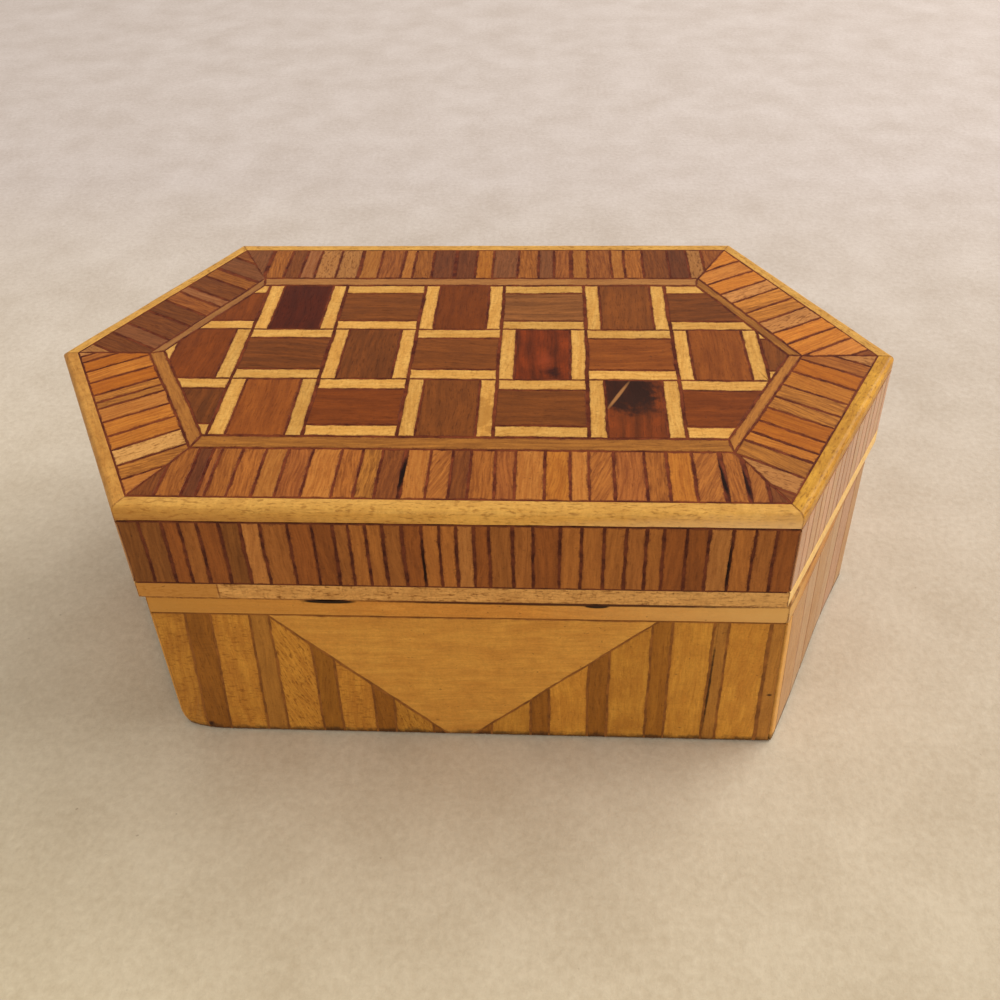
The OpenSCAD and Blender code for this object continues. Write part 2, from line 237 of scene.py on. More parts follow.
def make_wood_figure():
    """Grain of one wood. The fibres follow the piece's own direction, and every piece is cut
    from another place of the plank."""
    tree, n, take, give = new_tree("wood_figure", "Shader", {
        "Color": ["Light wood", "Dark wood"],
        "Float": ["Streaks", "Streak width", "Pores", "Flecks", "Cross flecks", "Curls",
                  "Ripple", "Mottle", "Polish"],
    }, {"Color": ["Colour"], "Float": ["Roughness", "Height"]})
    fibre = n.attribute("fibre")
    straight = n.vector("ADD", n.place(), n.attribute("own"))
    bend = n.put("ShaderNodeTexNoise", Vector=n.scaled(straight, BENDS), Scale=1.0, Detail=1.0)
    bend = n.vector("SUBTRACT", bend.outputs["Color"], (0.5, 0.5, 0.5))
    plank = n.vector("ADD", straight, n.scaled(bend, BEND_SIZE))
    run = n.dot(plank, fibre)

    def drawn_out(keep):
        """The plank with its figure drawn out along the fibres."""
        return n.vector("ADD", plank, n.scaled(fibre, n.times(run, keep - 1.0)))

    turned = n.scaled(fibre, n.times(run, 1 - ACROSS))
    across = n.vector("ADD", n.scaled(plank, ACROSS), turned)
    wide = n.maths("DIVIDE", 1.0, take["Streak width"])
    streak = n.patches(n.scaled(drawn_out(keep=0.06), wide), scale=1.0, low=0.38, high=0.62,
                       detail=3.0, roughness=0.62)
    fine = n.noise(drawn_out(keep=0.05), scale=3.0, roughness=0.6)
    pore = n.patches(drawn_out(keep=0.11), scale=4.2, low=0.58, high=0.72, detail=1.0)
    fleck = n.patches(drawn_out(keep=0.3), scale=2.6, low=0.54, high=0.68)
    cross = n.patches(across, scale=2.4, low=0.54, high=0.70, roughness=0.6)
    wave = n.noise(drawn_out(keep=0.5), scale=1.3, detail=1.0)
    ridge = n.maths("ABSOLUTE", n.minus(wave, 0.5))
    curly = n.patches(plank, scale=0.9, low=0.38, high=0.52, detail=1.0)
    curl = n.times(n.spread(ridge, low=0.015, high=0.085, new_low=1.0, new_high=0.0), curly)
    ripple = n.noise(across, scale=1.15, roughness=0.55)
    mottle = n.patches(drawn_out(keep=0.6), scale=0.3, low=0.40, high=0.62, detail=4.0,
                       roughness=0.6)
    speckle = n.noise(plank, scale=2.6, detail=3.0, roughness=0.7)

    colour = take["Light wood"]
    for mask, amount in ((streak, "Streaks"), (mottle, "Mottle"), (curl, "Curls")):
        colour = n.blend(n.times(mask, take[amount], clamp=True), colour, take["Dark wood"])
    darkest = n.blend(1.0, take["Dark wood"], DARKEST, "MULTIPLY")
    flecks = n.plus(n.times(fleck, take["Flecks"]), n.times(cross, take["Cross flecks"]),
                    clamp=True)
    colour = n.blend(flecks, colour, darkest)
    colour = n.blend(n.times(pore, take["Pores"], clamp=True), colour, darkest)
    level = n.plus(n.plus(1.0, n.swing(fine, FINE_SHADE)), n.swing(speckle, SPECKLE_SHADE))
    level = n.times(n.plus(level, n.swing(ripple, take["Ripple"])), n.attribute("tone", "Fac"))
    n.feed(give["Colour"], n.scaled(colour, level))
    uneven = n.plus(n.swing(fine, FINE_DULL), n.times(pore, PORE_DULL))
    n.feed(give["Roughness"], n.plus(take["Polish"], uneven))
    sunk = n.times(n.times(pore, take["Pores"]), -PORE_DEPTH)
    n.feed(give["Height"], n.plus(n.times(fine, FINE_HEIGHT), sunk))
    return tree


def make_wood_mark():
    """A soft-edged mark at one place of the box: a knot, a crack, a streak or a tint."""
    tree, n, take, give = new_tree("wood_mark", "Shader", {
        "Color": ["Colour", "Mark colour"],
        "Vector": ["Middle", "Direction"],
        "Float": ["Half length", "Half width", "Ragged", "Soft", "Amount"],
    }, {"Color": ["Colour"]})
    place = n.place()
    away = n.vector("SUBTRACT", place, take["Middle"])
    run = n.dot(away, take["Direction"])
    rest = n.vector("SUBTRACT", away, n.scaled(take["Direction"], run))
    rest = n.vector("LENGTH", rest).outputs["Value"]
    far = n.maths("POWER", n.maths("DIVIDE", run, take["Half length"]), 2.0)
    wide = n.maths("POWER", n.maths("DIVIDE", rest, take["Half width"]), 2.0)
    edge = n.swing(n.noise(place, scale=0.6, detail=4.0, roughness=0.6), take["Ragged"])
    far = n.plus(n.maths("SQRT", n.plus(far, wide)), edge)
    inside = n.spread(far, take["Soft"], 1.0, new_low=1.0, new_high=0.0)
    amount = n.times(inside, take["Amount"], clamp=True)
    n.feed(give["Colour"], n.blend(amount, take["Colour"], take["Mark colour"]))
    return tree


def make_glue_stain_and_seam_shade():
    """Dark glue that has crept into the wood beside a joint. On the lip and rim strips it also
    paints shade along the seam under the lid's lip.
    """
    tree, n, take, give = new_tree("glue_stain_and_seam_shade", "Shader", {
        "Color": ["Colour", "Stain colour"], "Float": ["Amount"],
    }, {"Color": ["Colour"]})
    place = n.place()
    ragged = n.swing(n.noise(place, scale=2.2, detail=4.0, roughness=0.7), STAIN_RAGGED)
    edge = n.spread(n.plus(n.attribute("stain", "Fac"), ragged), low=0.5, high=0.95)
    patch = n.spread(n.noise(place, scale=0.5), low=0.35, high=0.6, new_low=0.35)
    amount = n.times(n.times(edge, patch), take["Amount"], clamp=True)
    n.feed(give["Colour"], n.blend(amount, take["Colour"], take["Stain colour"]))
    return tree


def make_bottom_shade_and_wear():
    """Painted shade along the edge the box stands on, specks of dirt, and duller patches in the
    lacquer.
    """
    tree, n, take, give = new_tree("bottom_shade_and_wear", "Shader", {
        "Color": ["Colour", "Grime"], "Float": ["Roughness", "Amount"],
    }, {"Color": ["Colour"], "Float": ["Roughness"]})
    place = n.place()
    height = n.put("ShaderNodeSeparateXYZ", Vector=place).outputs["Z"]
    ragged = n.times(n.noise(place, scale=0.4, detail=4.0, roughness=0.7), BOTTOM_SHADE_RAGGED)
    # Painted shade: darker towards the bottom edge, where the box meets the floor
    low = n.spread(n.minus(height, ragged), low=-0.9, high=0.1, new_low=1.0, new_high=0.0)
    speck = n.patches(place, scale=1.3, low=0.71, high=0.75)
    dirt_and_shade = n.times(n.maths("MAXIMUM", low, n.times(speck, 0.5)), take["Amount"], clamp=True)
    n.feed(give["Colour"], n.blend(dirt_and_shade, take["Colour"], take["Grime"]))
    cloud = n.noise(place, scale=0.11, detail=3.0, roughness=0.6)
    dull = n.spread(cloud, low=0.35, high=0.7, new_low=-0.04, new_high=0.08)
    n.feed(give["Roughness"], n.plus(take["Roughness"], dull))
    return tree


WOOD_FIGURE = make_wood_figure()
WOOD_MARK = make_wood_mark()
GLUE_STAIN_AND_SEAM_SHADE = make_glue_stain_and_seam_shade()
BOTTOM_SHADE_AND_WEAR = make_bottom_shade_and_wear()


def new_material(name, specular=0.5):
    """A material, the helper for its nodes, and its shader."""
    material = bpy.data.materials.new(name)
    material.use_nodes = True
    tree = material.node_tree
    shader = next(x for x in tree.nodes if x.type == "BSDF_PRINCIPLED")
    shader.inputs["Specular IOR Level"].default_value = specular
    return material, Nodes(tree), shader.inputs


def add_group(n, tree, **inputs):
    return n.put("ShaderNodeGroup", {"node_tree": tree}, **inputs)


def add_marks(n, colour, marks):
    """Lays marks over a colour, each with its shade, place, direction, size and edge."""
    for shade, spot, direction, half_length, half_width, ragged, soft, amount in marks:
        colour = add_group(n, WOOD_MARK, Colour=colour, Mark_colour=rgb(*shade), Middle=spot,
                           Direction=Vector(direction).normalized(), Half_length=half_length,
                           Half_width=half_width, Ragged=ragged, Soft=soft, Amount=amount)
    return colour


STAIN_RED = (92, 42, 24)
STAIN_BROWN = (126, 76, 34)
# A pale pink stain for the ends of the box, painted sheen
SHEEN_PINK_STAIN = (150, 98, 70)
# Colour of the painted shade along the bottom edge and of the specks of dirt
GRIME_AND_SHADE = rgb(58, 36, 22)
DIM_SPECULAR, GLUE_SPECULAR = 0.1, 0.08
COAT_ROUGHNESS = 0.22
GRAIN_DEPTH, GLUE_GRAIN_DEPTH, BRUSHED_DEPTH = 0.03 * MM, 0.05 * MM, 0.01 * MM
BRUSHED_ALONG_X, BRUSHED_DULL = (0.6, 6.0, 6.0), 0.1


def wood(name, light, dark, streaks=0.6, width=0.9, pores=0.3, flecks=0.0, cross=0.0,
         curls=0.0, ripple=0.1, mottle=0.15, polish=0.42, coat=0.04, stain=0.7,
         stain_colour=STAIN_RED, wear=0.8, marks=()):
    """A lacquered wood. light and dark are its colours as they show on a screen."""
    material, n, shader = new_material(name, DIM_SPECULAR)
    figure = add_group(n, WOOD_FIGURE, Light_wood=rgb(*light), Dark_wood=rgb(*dark),
                       Streaks=streaks, Streak_width=width, Pores=pores, Flecks=flecks,
                       Cross_flecks=cross, Curls=curls, Ripple=ripple, Mottle=mottle,
                       Polish=polish).outputs
    colour = add_marks(n, figure["Colour"], marks)
    stained = add_group(n, GLUE_STAIN_AND_SEAM_SHADE, Colour=colour, Stain_colour=rgb(*stain_colour),
                        Amount=stain)
    worn = add_group(n, BOTTOM_SHADE_AND_WEAR, Colour=stained, Roughness=figure["Roughness"],
                     Grime=GRIME_AND_SHADE, Amount=wear).outputs
    n.feed(shader["Base Color"], worn["Colour"])
    n.feed(shader["Roughness"], worn["Roughness"])
    n.feed(shader["Normal"], n.bump(figure["Height"], strength=0.6, distance=GRAIN_DEPTH))
    shader["Coat Weight"].default_value = coat
    shader["Coat Roughness"].default_value = COAT_ROUGHNESS
    return material


def make_glue(name, dark, light, marks=()):
    """Old glue, darker in some joints than in others."""
    material, n, shader = new_material(name, GLUE_SPECULAR)
    place = n.place()
    patch = n.patches(place, scale=0.8, low=0.35, high=0.65, detail=4.0, roughness=0.7)
    region = n.patches(place, scale=0.2, low=0.4, high=0.6)
    share = n.plus(n.times(patch, 0.5), n.times(region, 0.5))
    colour = add_marks(n, n.blend(share, rgb(*dark), rgb(*light)), marks)
    n.feed(shader["Base Color"], colour)
    n.feed(shader["Roughness"], n.spread(patch, 0, 1, new_low=0.4, new_high=0.6))
    grains = n.noise(place, scale=5.0, detail=3.0)
    n.feed(shader["Normal"], n.bump(grains, strength=0.8, distance=GLUE_GRAIN_DEPTH))
    return material


def brass(name, light, dark, polish):
    """Brass with a patina, brushed along its length."""
    material, n, shader = new_material(name)
    place = n.place()
    patina = n.patches(place, scale=0.5, low=0.38, high=0.68, detail=4.0, roughness=0.65)
    fine = n.noise(n.vector("MULTIPLY", place, BRUSHED_ALONG_X), scale=2.0)
    n.feed(shader["Base Color"], n.blend(patina, rgb(*light), rgb(*dark)))
    dull = n.spread(patina, 0, 1, new_low=polish, new_high=polish + 0.22)
    n.feed(shader["Roughness"], n.plus(dull, n.times(fine, BRUSHED_DULL)))
    n.feed(shader["Normal"], n.bump(fine, strength=0.5, distance=BRUSHED_DEPTH))
    shader["Metallic"].default_value = 1.0
    return material


# Marks of single woods: colour, middle in millimetres, direction, half length and half width,
# how ragged and how soft its edge is, and how much of it shows
KNOT_MARKS = [
    ((30, 14, 10), (27.0, -10.5, 56), ALONG_X, 9.0, 7.5, 1.2, 0.55, 0.85),
    ((52, 26, 16), (29.5, -14.5, 56), (1, -0.4, 0), 6.0, 3.6, 1.6, 0.2, 0.7),
    ((172, 116, 66), (26.3, -12.1, 56), (3.9, 7.5, 0), 5.2, 0.42, 0.3, 0.5, 0.9),
]
DEEP_RED_MARKS = [
    ((30, 10, 8), (15.0, -5.6, 56), ALONG_X, 2.6, 2.2, 1.4, 0.1, 0.95),
    ((158, 66, 30), (13.6, -1.8, 56), ALONG_Y, 3.4, 1.8, 1.6, 0.0, 0.6),
]
CREAM_MARKS = [((176, 118, 48), (3.5, -17.5, 56), ALONG_Y, 6.5, 2.2, 2.6, 0.5, 0.7)]
STAVE_MARKS = [
    ((34, 14, 8), (41.85, -40.2, 14.2), (0.42, 0, 29.0), 15.5, 0.3, 1.2, 0.4, 0.9),
    ((44, 18, 10), (-47.0, -40.2, 1.5), UP, 0.9, 0.8, 0.5, 0.4, 0.9),
    ((40, 18, 10), (52.3, -40.2, 13.1), ALONG_X, 0.6, 0.4, 0.3, 0.4, 0.9),
]
# The front strips are darker towards the left and paler towards the right: painted shade at the
# left and painted light at the right
EDGING_PAINTED_SHADE_AND_LIGHT = [
    ((156, 100, 44), (-57.0, -41.1, 50.6), ALONG_X, 66.0, 6.2, 0.2, 0.3, 0.95),
    ((242, 198, 140), (57.0, -41.1, 50.6), ALONG_X, 56.0, 5.6, 0.2, 0.3, 0.95),
]
# On the lip strip only the paler right is painted light. Its darker left end, up to the splice,
# is a plain piece of wood, and the thin upright mark is the splice
LIP_MARKS_AND_PAINTED_LIGHT = [
    ((182, 122, 52), (-54.0, -41.1, 38), ALONG_X, 15.4, 8.0, 0.0, 0.97, 0.8),
    ((232, 184, 114), (60.0, -41.1, 38), ALONG_X, 45.0, 8.0, 0.3, 0.2, 0.25),
    ((120, 66, 28), (-38.8, -41.1, 38), UP, 2.6, 0.2, 0.5, 0.4, 0.8),
]
# On the rim strip the darker left is painted shade and the paler right is painted light
RIM_PAINTED_LIGHT_AND_SHADE = [
    ((190, 134, 60), (-60.0, -40.2, 33), ALONG_X, 50.0, 8.0, 0.3, 0.2, 0.9),
    ((220, 170, 98), (60.0, -40.2, 33), ALONG_X, 48.0, 8.0, 0.3, 0.2, 0.9),
    # Painted shade: near-black over the two nicks for a finger nail
    ((16, 9, 8), (-21.3, -40.2, 34.75), ALONG_X, 4.9, 0.55, 0.2, 0.75, 0.97),
    ((16, 9, 8), (22.3, -40.2, 34.6), ALONG_X, 2.2, 0.5, 0.2, 0.75, 0.97),
    # Painted shade: a dark line along the seam under the lid's lip
    ((60, 32, 16), (16.0, -40.2, 34.95), ALONG_X, 37.0, 0.42, 0.4, 0.6, 0.95),
]
# Finishes that several woods share
# The ends get a strong coat, and a pale pink stain as painted sheen
END_BAND = {"coat": 0.7, "stain": 0.4, "stain_colour": SHEEN_PINK_STAIN}
END_STAVE = {"coat": 0.3, "stain": 0.2, "stain_colour": SHEEN_PINK_STAIN}
LIGHT_STAVE = {"stain": 0.35, "stain_colour": STAIN_BROWN}
DARK_STAVE = {"stain": 0.3, "stain_colour": STAIN_BROWN, "marks": STAVE_MARKS}
EDGING = {"ripple": 0.3, "stain_colour": STAIN_BROWN, "wear": 0.4}
# Each wood by its letter in the plans of the rows: its name, its light and its dark colour,
# then its streaks, their width, its pores, flecks and cross flecks
WOODS = {
    # Cross-band
    "D": wood("dark_brown_wood", (138, 76, 32), (106, 54, 24), 0.8, 0.4, 0.5),
    "P": wood("purple_brown_wood", (122, 65, 33), (91, 46, 24), 0.7, 0.5, 0.4),
    "B": wood("orange_brown_wood", (178, 106, 43), (134, 72, 28), 0.85, 0.35, 0.5),
    "O": wood("orange_gold_wood", (188, 116, 41), (154, 84, 27), 0.7, 0.45, 0.4),
    "G": wood("golden_orange_wood", (189, 120, 52), (158, 89, 34), 0.65, 0.45, 0.4),
    "T": wood("pale_flecked_wood", (187, 126, 67), (155, 97, 47), 0.4, 0.7, 0.5, 0.8),
    "W": wood("pale_speckled_wood", (214, 158, 88), (178, 122, 60), 0.4, 0.7, 0.4, 0.7, 0.3),
    "R": wood("reddish_brown_wood", (169, 98, 43), (128, 66, 29), 0.85, 0.4, 0.4),
    "S": wood("striped_olive_wood", (187, 119, 47), (130, 75, 29), 0.8, 0.35, 0.5),
    "V": wood("vivid_orange_wood", (176, 100, 27), (148, 76, 19), 0.7, 0.5, 0.3),
    "Y": wood("grey_brown_wood", (148, 87, 48), (117, 68, 37), 0.7, 0.5, 0.5),
    "L": wood("light_golden_wood", (169, 108, 62), (140, 77, 39), 0.8, 0.5, 0.35),
    "X": wood("slanting_orange_wood", (184, 112, 47), (132, 69, 29), 0.75, 0.45, 0.5),
    # Band round the lid
    "1": wood("band_dark_wood", (137, 83, 37), (105, 59, 25), 0.6, 0.6, 0.35),
    "2": wood("band_reddish_wood", (145, 82, 35), (114, 61, 27), 0.6, 0.6, 0.3),
    "3": wood("band_brown_wood", (161, 98, 45), (129, 74, 32), 0.6, 0.6, 0.35),
    "4": wood("band_orange_wood", (175, 108, 48), (141, 82, 36), 0.6, 0.6, 0.3),
    "5": wood("band_golden_wood", (180, 117, 58), (151, 92, 43), 0.6, 0.6, 0.3),
    # Band round the ends of the lid, pale and pinkish as painted sheen besides the sheen of
    # their coat
    "6": wood("end_band_dark_wood", (198, 137, 84), (166, 110, 64), 0.5, 0.5, 0.2,
              **END_BAND),
    "7": wood("end_band_brown_wood", (205, 150, 92), (176, 122, 72), 0.5, 0.5, 0.2,
              **END_BAND),
    "8": wood("end_band_pink_wood", (202, 144, 96), (176, 118, 74), 0.5, 0.5, 0.2,
              **END_BAND),
    # Dark blocks of the weave
    "p": wood("weave_purple_wood", (94, 33, 10), (64, 20, 6), 0.6, 1.4, 0.4, mottle=0.4),
    "r": wood("weave_reddish_wood", (134, 65, 19), (103, 46, 12), 0.6, 1.2, 0.4, mottle=0.4),
    "e": wood("weave_deep_red_wood", (142, 57, 15), (77, 30, 8), 0.8, 2.2, 0.3, mottle=0.5,
              marks=DEEP_RED_MARKS),
    "b": wood("weave_brown_wood", (140, 76, 28), (104, 54, 20), 0.6, 1.1, 0.5, mottle=0.35),
    "l": wood("weave_light_brown_wood", (166, 102, 50), (119, 70, 34), 0.8, 1.1, 0.5,
              mottle=0.3),
    "g": wood("weave_grey_brown_wood", (130, 69, 25), (93, 48, 18), 0.7, 1.0, 0.6,
              mottle=0.35),
    "o": wood("weave_orange_brown_wood", (154, 83, 29), (117, 56, 18), 0.6, 1.2, 0.4,
              mottle=0.35),
    "k": wood("weave_knotty_wood", (139, 63, 20), (84, 38, 12), 0.8, 2.6, 0.4, mottle=0.4,
              marks=KNOT_MARKS),
    # Light strips, staves and plain strips
    "c": wood("weave_cream_wood", (228, 174, 90), (198, 136, 56), 0.5, 0.7, 0.2, 0.3, 0.3,
              mottle=0.4, stain=0.6, marks=CREAM_MARKS),
    "m": wood("stave_maple", (203, 141, 54), (162, 99, 34), 0.5, 0.8, 0.15, 0.1, 0.6,
              ripple=0.12, mottle=0.45, **LIGHT_STAVE),
    "h": wood("stave_plain_maple", (209, 147, 56), (170, 106, 36), 0.4, 0.8, 0.2, 0.15, 0.15,
              ripple=0.08, mottle=0.5, **LIGHT_STAVE),
    "d": wood("stave_slanting_maple", (207, 145, 55), (162, 100, 34), 0.5, 0.5, 0.2, 0.7,
              0.15, mottle=0.4, **LIGHT_STAVE),
    "w": wood("stave_walnut", (163, 105, 35), (129, 76, 23), 0.5, 0.8, 0.4, 0.0, 0.1,
              **DARK_STAVE),
    "v": wood("stave_pale_walnut", (176, 118, 48), (144, 92, 36), 0.5, 0.8, 0.3, 0.0, 0.05,
              **DARK_STAVE),
    "u": wood("stave_purple_walnut", (149, 93, 31), (115, 67, 21), 0.5, 0.8, 0.4, 0.0, 0.2,
              **DARK_STAVE),
    "t": wood("triangle_maple", (203, 145, 61), (174, 112, 42), 0.35, 0.9, 0.12, 0.14,
              ripple=0.2, mottle=0.4, coat=0.2, stain=0.3, stain_colour=STAIN_BROWN),
    "s": wood("stringing_gold_wood", (177, 114, 46), (139, 84, 33), 0.8, 0.5, 0.4),
    "a": wood("stringing_tan_wood", (177, 120, 63), (144, 89, 45), 0.6, 0.5, 0.35),
    "z": wood("stringing_orange_wood", (186, 121, 52), (146, 86, 37), 0.6, 0.5, 0.35),
    "M": wood("corner_maple", (232, 172, 88), (206, 142, 62), 0.4, 1.0, 0.3, 0.2, stain=0.2,
              stain_colour=STAIN_BROWN),
    # The end staves are pale and pinkish: partly their own colour and partly painted sheen
    "n": wood("end_brown_wood", (187, 138, 84), (161, 111, 64), 0.6, 0.5, 0.3, **END_STAVE),
    "i": wood("end_reddish_wood", (202, 157, 108), (169, 122, 80), 0.6, 0.5, 0.3, **END_STAVE),
    "q": wood("end_olive_wood", (198, 146, 106), (170, 118, 82), 0.6, 0.5, 0.3, **END_STAVE),
}
# How far the fibres of a wood slant across its piece
SLANTS = {"X": -0.42, "S": -0.1, "d": 0.32}
EDGING_MAPLE = wood("edging_maple", (225, 171, 84), (186, 126, 52), 0.3, 0.9, 0.2, 0.6,
                    mottle=0.35, marks=EDGING_PAINTED_SHADE_AND_LIGHT, **EDGING)
EDGING_GOLD = wood("edging_gold_maple", (226, 166, 58), (176, 116, 34), 0.4, 0.9, 0.2, 0.6,
                   mottle=0.6, coat=0.12, **EDGING)
EDGING_DARK = wood("edging_dark_maple", (208, 150, 72), (170, 110, 44), 0.4, 0.9, 0.2, 0.3,
                   mottle=0.5, **EDGING)
LIP_MAPLE = wood("lip_maple", (222, 164, 92), (168, 112, 52), 0.3, 0.5, 0.1, 0.75, 0.3, 0.3,
                 ripple=0.3, mottle=0.3, marks=LIP_MARKS_AND_PAINTED_LIGHT)
# Lip strip of the ends, paler than that of the long sides as painted light
LIP_END_MAPLE = wood("lip_end_maple", (250, 206, 124), (222, 168, 86), 0.4, 0.5, 0.15, 0.3,
                     0.3, 0.15, ripple=0.3, mottle=0.3, coat=0.4)
RIM_MAPLE = wood("rim_maple", (212, 146, 64), (186, 116, 44), 0.4, 1.0, 0.15, 0.15,
                 ripple=0.2, mottle=0.3, marks=RIM_PAINTED_LIGHT_AND_SHADE)
BOARD_WOOD = wood("board_wood", (206, 164, 112), (178, 132, 82), 0.6, 1.6, 0.35, 0.15,
                  polish=0.55, coat=0.08, stain=0.0, wear=0.3)


# Glues of the joints, and the cracks in them
TOP_CRACKS = [
    ((16, 6, 5), (-8.4, -33.0, 56), (0.06, 1, 0), 6.4, 0.6, 0.9, 0.4, 0.95),
    ((16, 6, 5), (41.3, -32.8, 56), (-0.1, 1, 0), 7.0, 0.6, 0.7, 0.4, 0.95),
    ((30, 10, 8), (44.7, -33.6, 56), (-0.1, 1, 0), 6.0, 0.5, 0.9, 0.4, 0.9),
]
BAND_CRACKS = [
    ((14, 6, 5), (24.95, -41.1, 45), UP, 7.5, 0.7, 0.9, 0.4, 0.85),
    ((14, 6, 5), (41.8, -41.1, 45), UP, 7.5, 0.9, 0.9, 0.4, 0.95),
    ((20, 8, 6), (-4.9, -41.1, 44), UP, 6.5, 0.7, 0.9, 0.4, 0.9),
]
RED_GLUE = make_glue("red_glue", (72, 26, 16), (132, 64, 34), TOP_CRACKS)
BAND_GLUE = make_glue("band_glue", (58, 24, 18), (116, 60, 36), BAND_CRACKS)
PALE_GLUE = make_glue("pale_glue", (110, 66, 30), (156, 98, 44))
# The glues of the ends are paler, as painted sheen
END_GLUE = make_glue("end_glue", (134, 84, 60), (176, 124, 92))
END_BAND_GLUE = make_glue("end_band_glue", (138, 92, 70), (184, 136, 104))
# Painted shade: a near-black material for the floors of the two nicks
NICK_PAINTED_SHADE = make_glue("nick_painted_shade", (16, 8, 6), (40, 22, 14))


# Woods cut from the outlines of their CAD nodes
FACING = 1.2 * MM
LAID_THICKNESS = FACING - 0.04 * MM
OUTLINE_STEP = 0.55 * MM
BORDER_STEP = 3 * MM
FLAT_ANGLE = math.radians(1)
FACES_THAT_WAY = 0.99
SAME_LEVEL, SIDE_DEEP = 0.1 * MM, 3 * MM
PLANK_REACH, PLANK_TO_SEED = 400, 40
TONE_RANGE = (0.9, 1.1)
FIBRE_TILT = 0.05
SUNK_MM = 0.035
# Reach and size of the wander of hand-cut edges
WANDERS = ((7 * MM, 0.16 * MM), (1.5 * MM, 0.045 * MM))
RAGGED_REACH = 1.2 * MM
DRAWN_IN_MM, RAGGED_MM = 0.06, 0.13
LEVEL_RISE = 0.1
CORNER_KEPT, CORNER_FADE = 0.7 * MM, 2 * MM
MITRED_END = 1.1 * MM
STAVE_TOP = 31.15 * MM
# Places along the front, and how far the staves lean there at their foot, in millimetres
FRONT_LEAN = [(-51.7, 0), (-48.5, 1.2), (-45.8, 1.8), (-41, 1.7), (-35, 1.3), (-30, 0.6),
              (-12, 0.4), (-6, 0), (60, 0)]


def cad_copy(node):
    """A CAD node's mesh with its loose triangles joined into whole faces."""
    work = bmesh.new()
    work.from_mesh(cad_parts[node].data)
    bmesh.ops.remove_doubles(work, verts=work.verts, dist=WELD)
    bmesh.ops.dissolve_limit(work, angle_limit=FLAT_ANGLE, verts=work.verts, edges=work.edges)
    return work


def outlines(node, facing):
    """The visible face of each wood in a CAD node, as corner points."""
    work = cad_copy(node)
    found = [[v.co.copy() for v in f.verts] for f in work.faces
             if f.normal.dot(facing) > FACES_THAT_WAY]
    work.free()
    far = max(points[0].dot(facing) for points in found)
    return [points for points in found if far - points[0].dot(facing) < SAME_LEVEL]


def outlines_on(node, i):
    """The visible faces of a node that belong to one side."""
    facing = outward(i)
    limit = middle(i).dot(facing) - SIDE_DEEP
    return [p for p in outlines(node, facing) if p[0].dot(facing) > limit]


def centre(points):
    return sum(points, Vector()) / len(points)


def extent(points):
    low = Vector([min(p[k] for p in points) for k in range(3)])
    high = Vector([max(p[k] for p in points) for k in range(3)])
    return low, high


def in_order(shapes, i):
    """These outlines in their order along a side."""
    return sorted(shapes, key=lambda points: side_place(i, centre(points)))


def resampled(points, step):
    """The outline with its edges cut into steps."""
    made = []
    for k, start in enumerate(points):
        end = points[(k + 1) % len(points)]
        pieces = max(1, round((end - start).length / step))
        made += [start.lerp(end, j / pieces) for j in range(pieces)]
    return made


def wander(point):
    """A small coherent wander of hand-cut edges, the same for neighbours."""
    wide, close = (noise.noise_vector(point / reach) * size for reach, size in WANDERS)
    return wide + close


def interpolated(table, x):
    for (x0, y0), (x1, y1) in zip(table, table[1:]):
        if x <= x1:
            return y0 + (y1 - y0) * max(0.0, (x - x0) / (x1 - x0))
    return table[-1][1]


class Cut:
    """One wood as laid: its wavy outline, its letter, the way its fibres run, its tone, how
    far it has sunk, and as its own the place in the plank that it was cut from."""

    def __init__(self, points, facing, letter, fibre, draw, side=None):
        self.facing, self.letter, self.side = facing, letter, side
        self.own = Vector([draw.uniform(-PLANK_REACH, PLANK_REACH) for _ in range(3)])
        self.tone = draw.uniform(*TONE_RANGE)
        tilt = draw.gauss(0, FIBRE_TILT) + SLANTS.get(letter, 0)
        self.fibre = (fibre + facing.cross(fibre) * tilt).normalized()
        self.sunk = draw.uniform(0, SUNK_MM) * MM
        self.points = self.hand_cut(points)

    def hand_cut(self, points):
        cut = resampled(points, OUTLINE_STEP)
        seed = self.own / PLANK_TO_SEED
        made = []
        for k, p in enumerate(cut):
            before, after = cut[k - 1], cut[(k + 1) % len(cut)]
            inward = self.facing.cross((after - before).normalized())
            ragged = noise.noise(p / RAGGED_REACH + seed)
            moved = wander(p) + inward * (DRAWN_IN_MM + RAGGED_MM * ragged) * MM
            moved -= self.facing * moved.dot(self.facing)
            if self.side is not None:
                rises = (abs((after - p).normalized().z), abs((p - before).normalized().z))
                if min(rises) < LEVEL_RISE:
                    moved -= UP * moved.z
                moved = self.kept_at_corners(p, moved + self.lean(p))
            made.append(p + moved - self.facing * self.sunk)
        return made

    def kept_at_corners(self, p, moved):
        """Near the corners of the box, a point stays where it is along its side."""
        end = self.to_corner(p)
        fade = min(1.0, max(0.0, (end - CORNER_KEPT) / CORNER_FADE))
        run = along(self.side)
        return moved - run * moved.dot(run) * (1 - fade)

    def to_corner(self, p):
        return side_length(self.side) / 2 - abs(side_place(self.side, p))

    def lean(self, p):
        """The front staves lean to the left at the left, as the photo shows."""
        if self.side != FRONT or p.z > STAVE_TOP:
            return Vector()
        down = (STAVE_TOP - p.z) / STAVE_TOP
        return ALONG_X * (-interpolated(FRONT_LEAN, p.x / MM) * down * MM)

    def backs(self):
        """The way from each outline point to its twin at the wood's back, per thickness."""
        if self.side is None:
            return [-self.facing] * len(self.points)
        made = []
        for p in self.points:
            slope = NEXT_SIDES_MEET if self.to_corner(p) < MITRED_END else 0
            turned = math.copysign(slope, side_place(self.side, p))
            made.append(-self.facing - along(self.side) * turned)
        return made


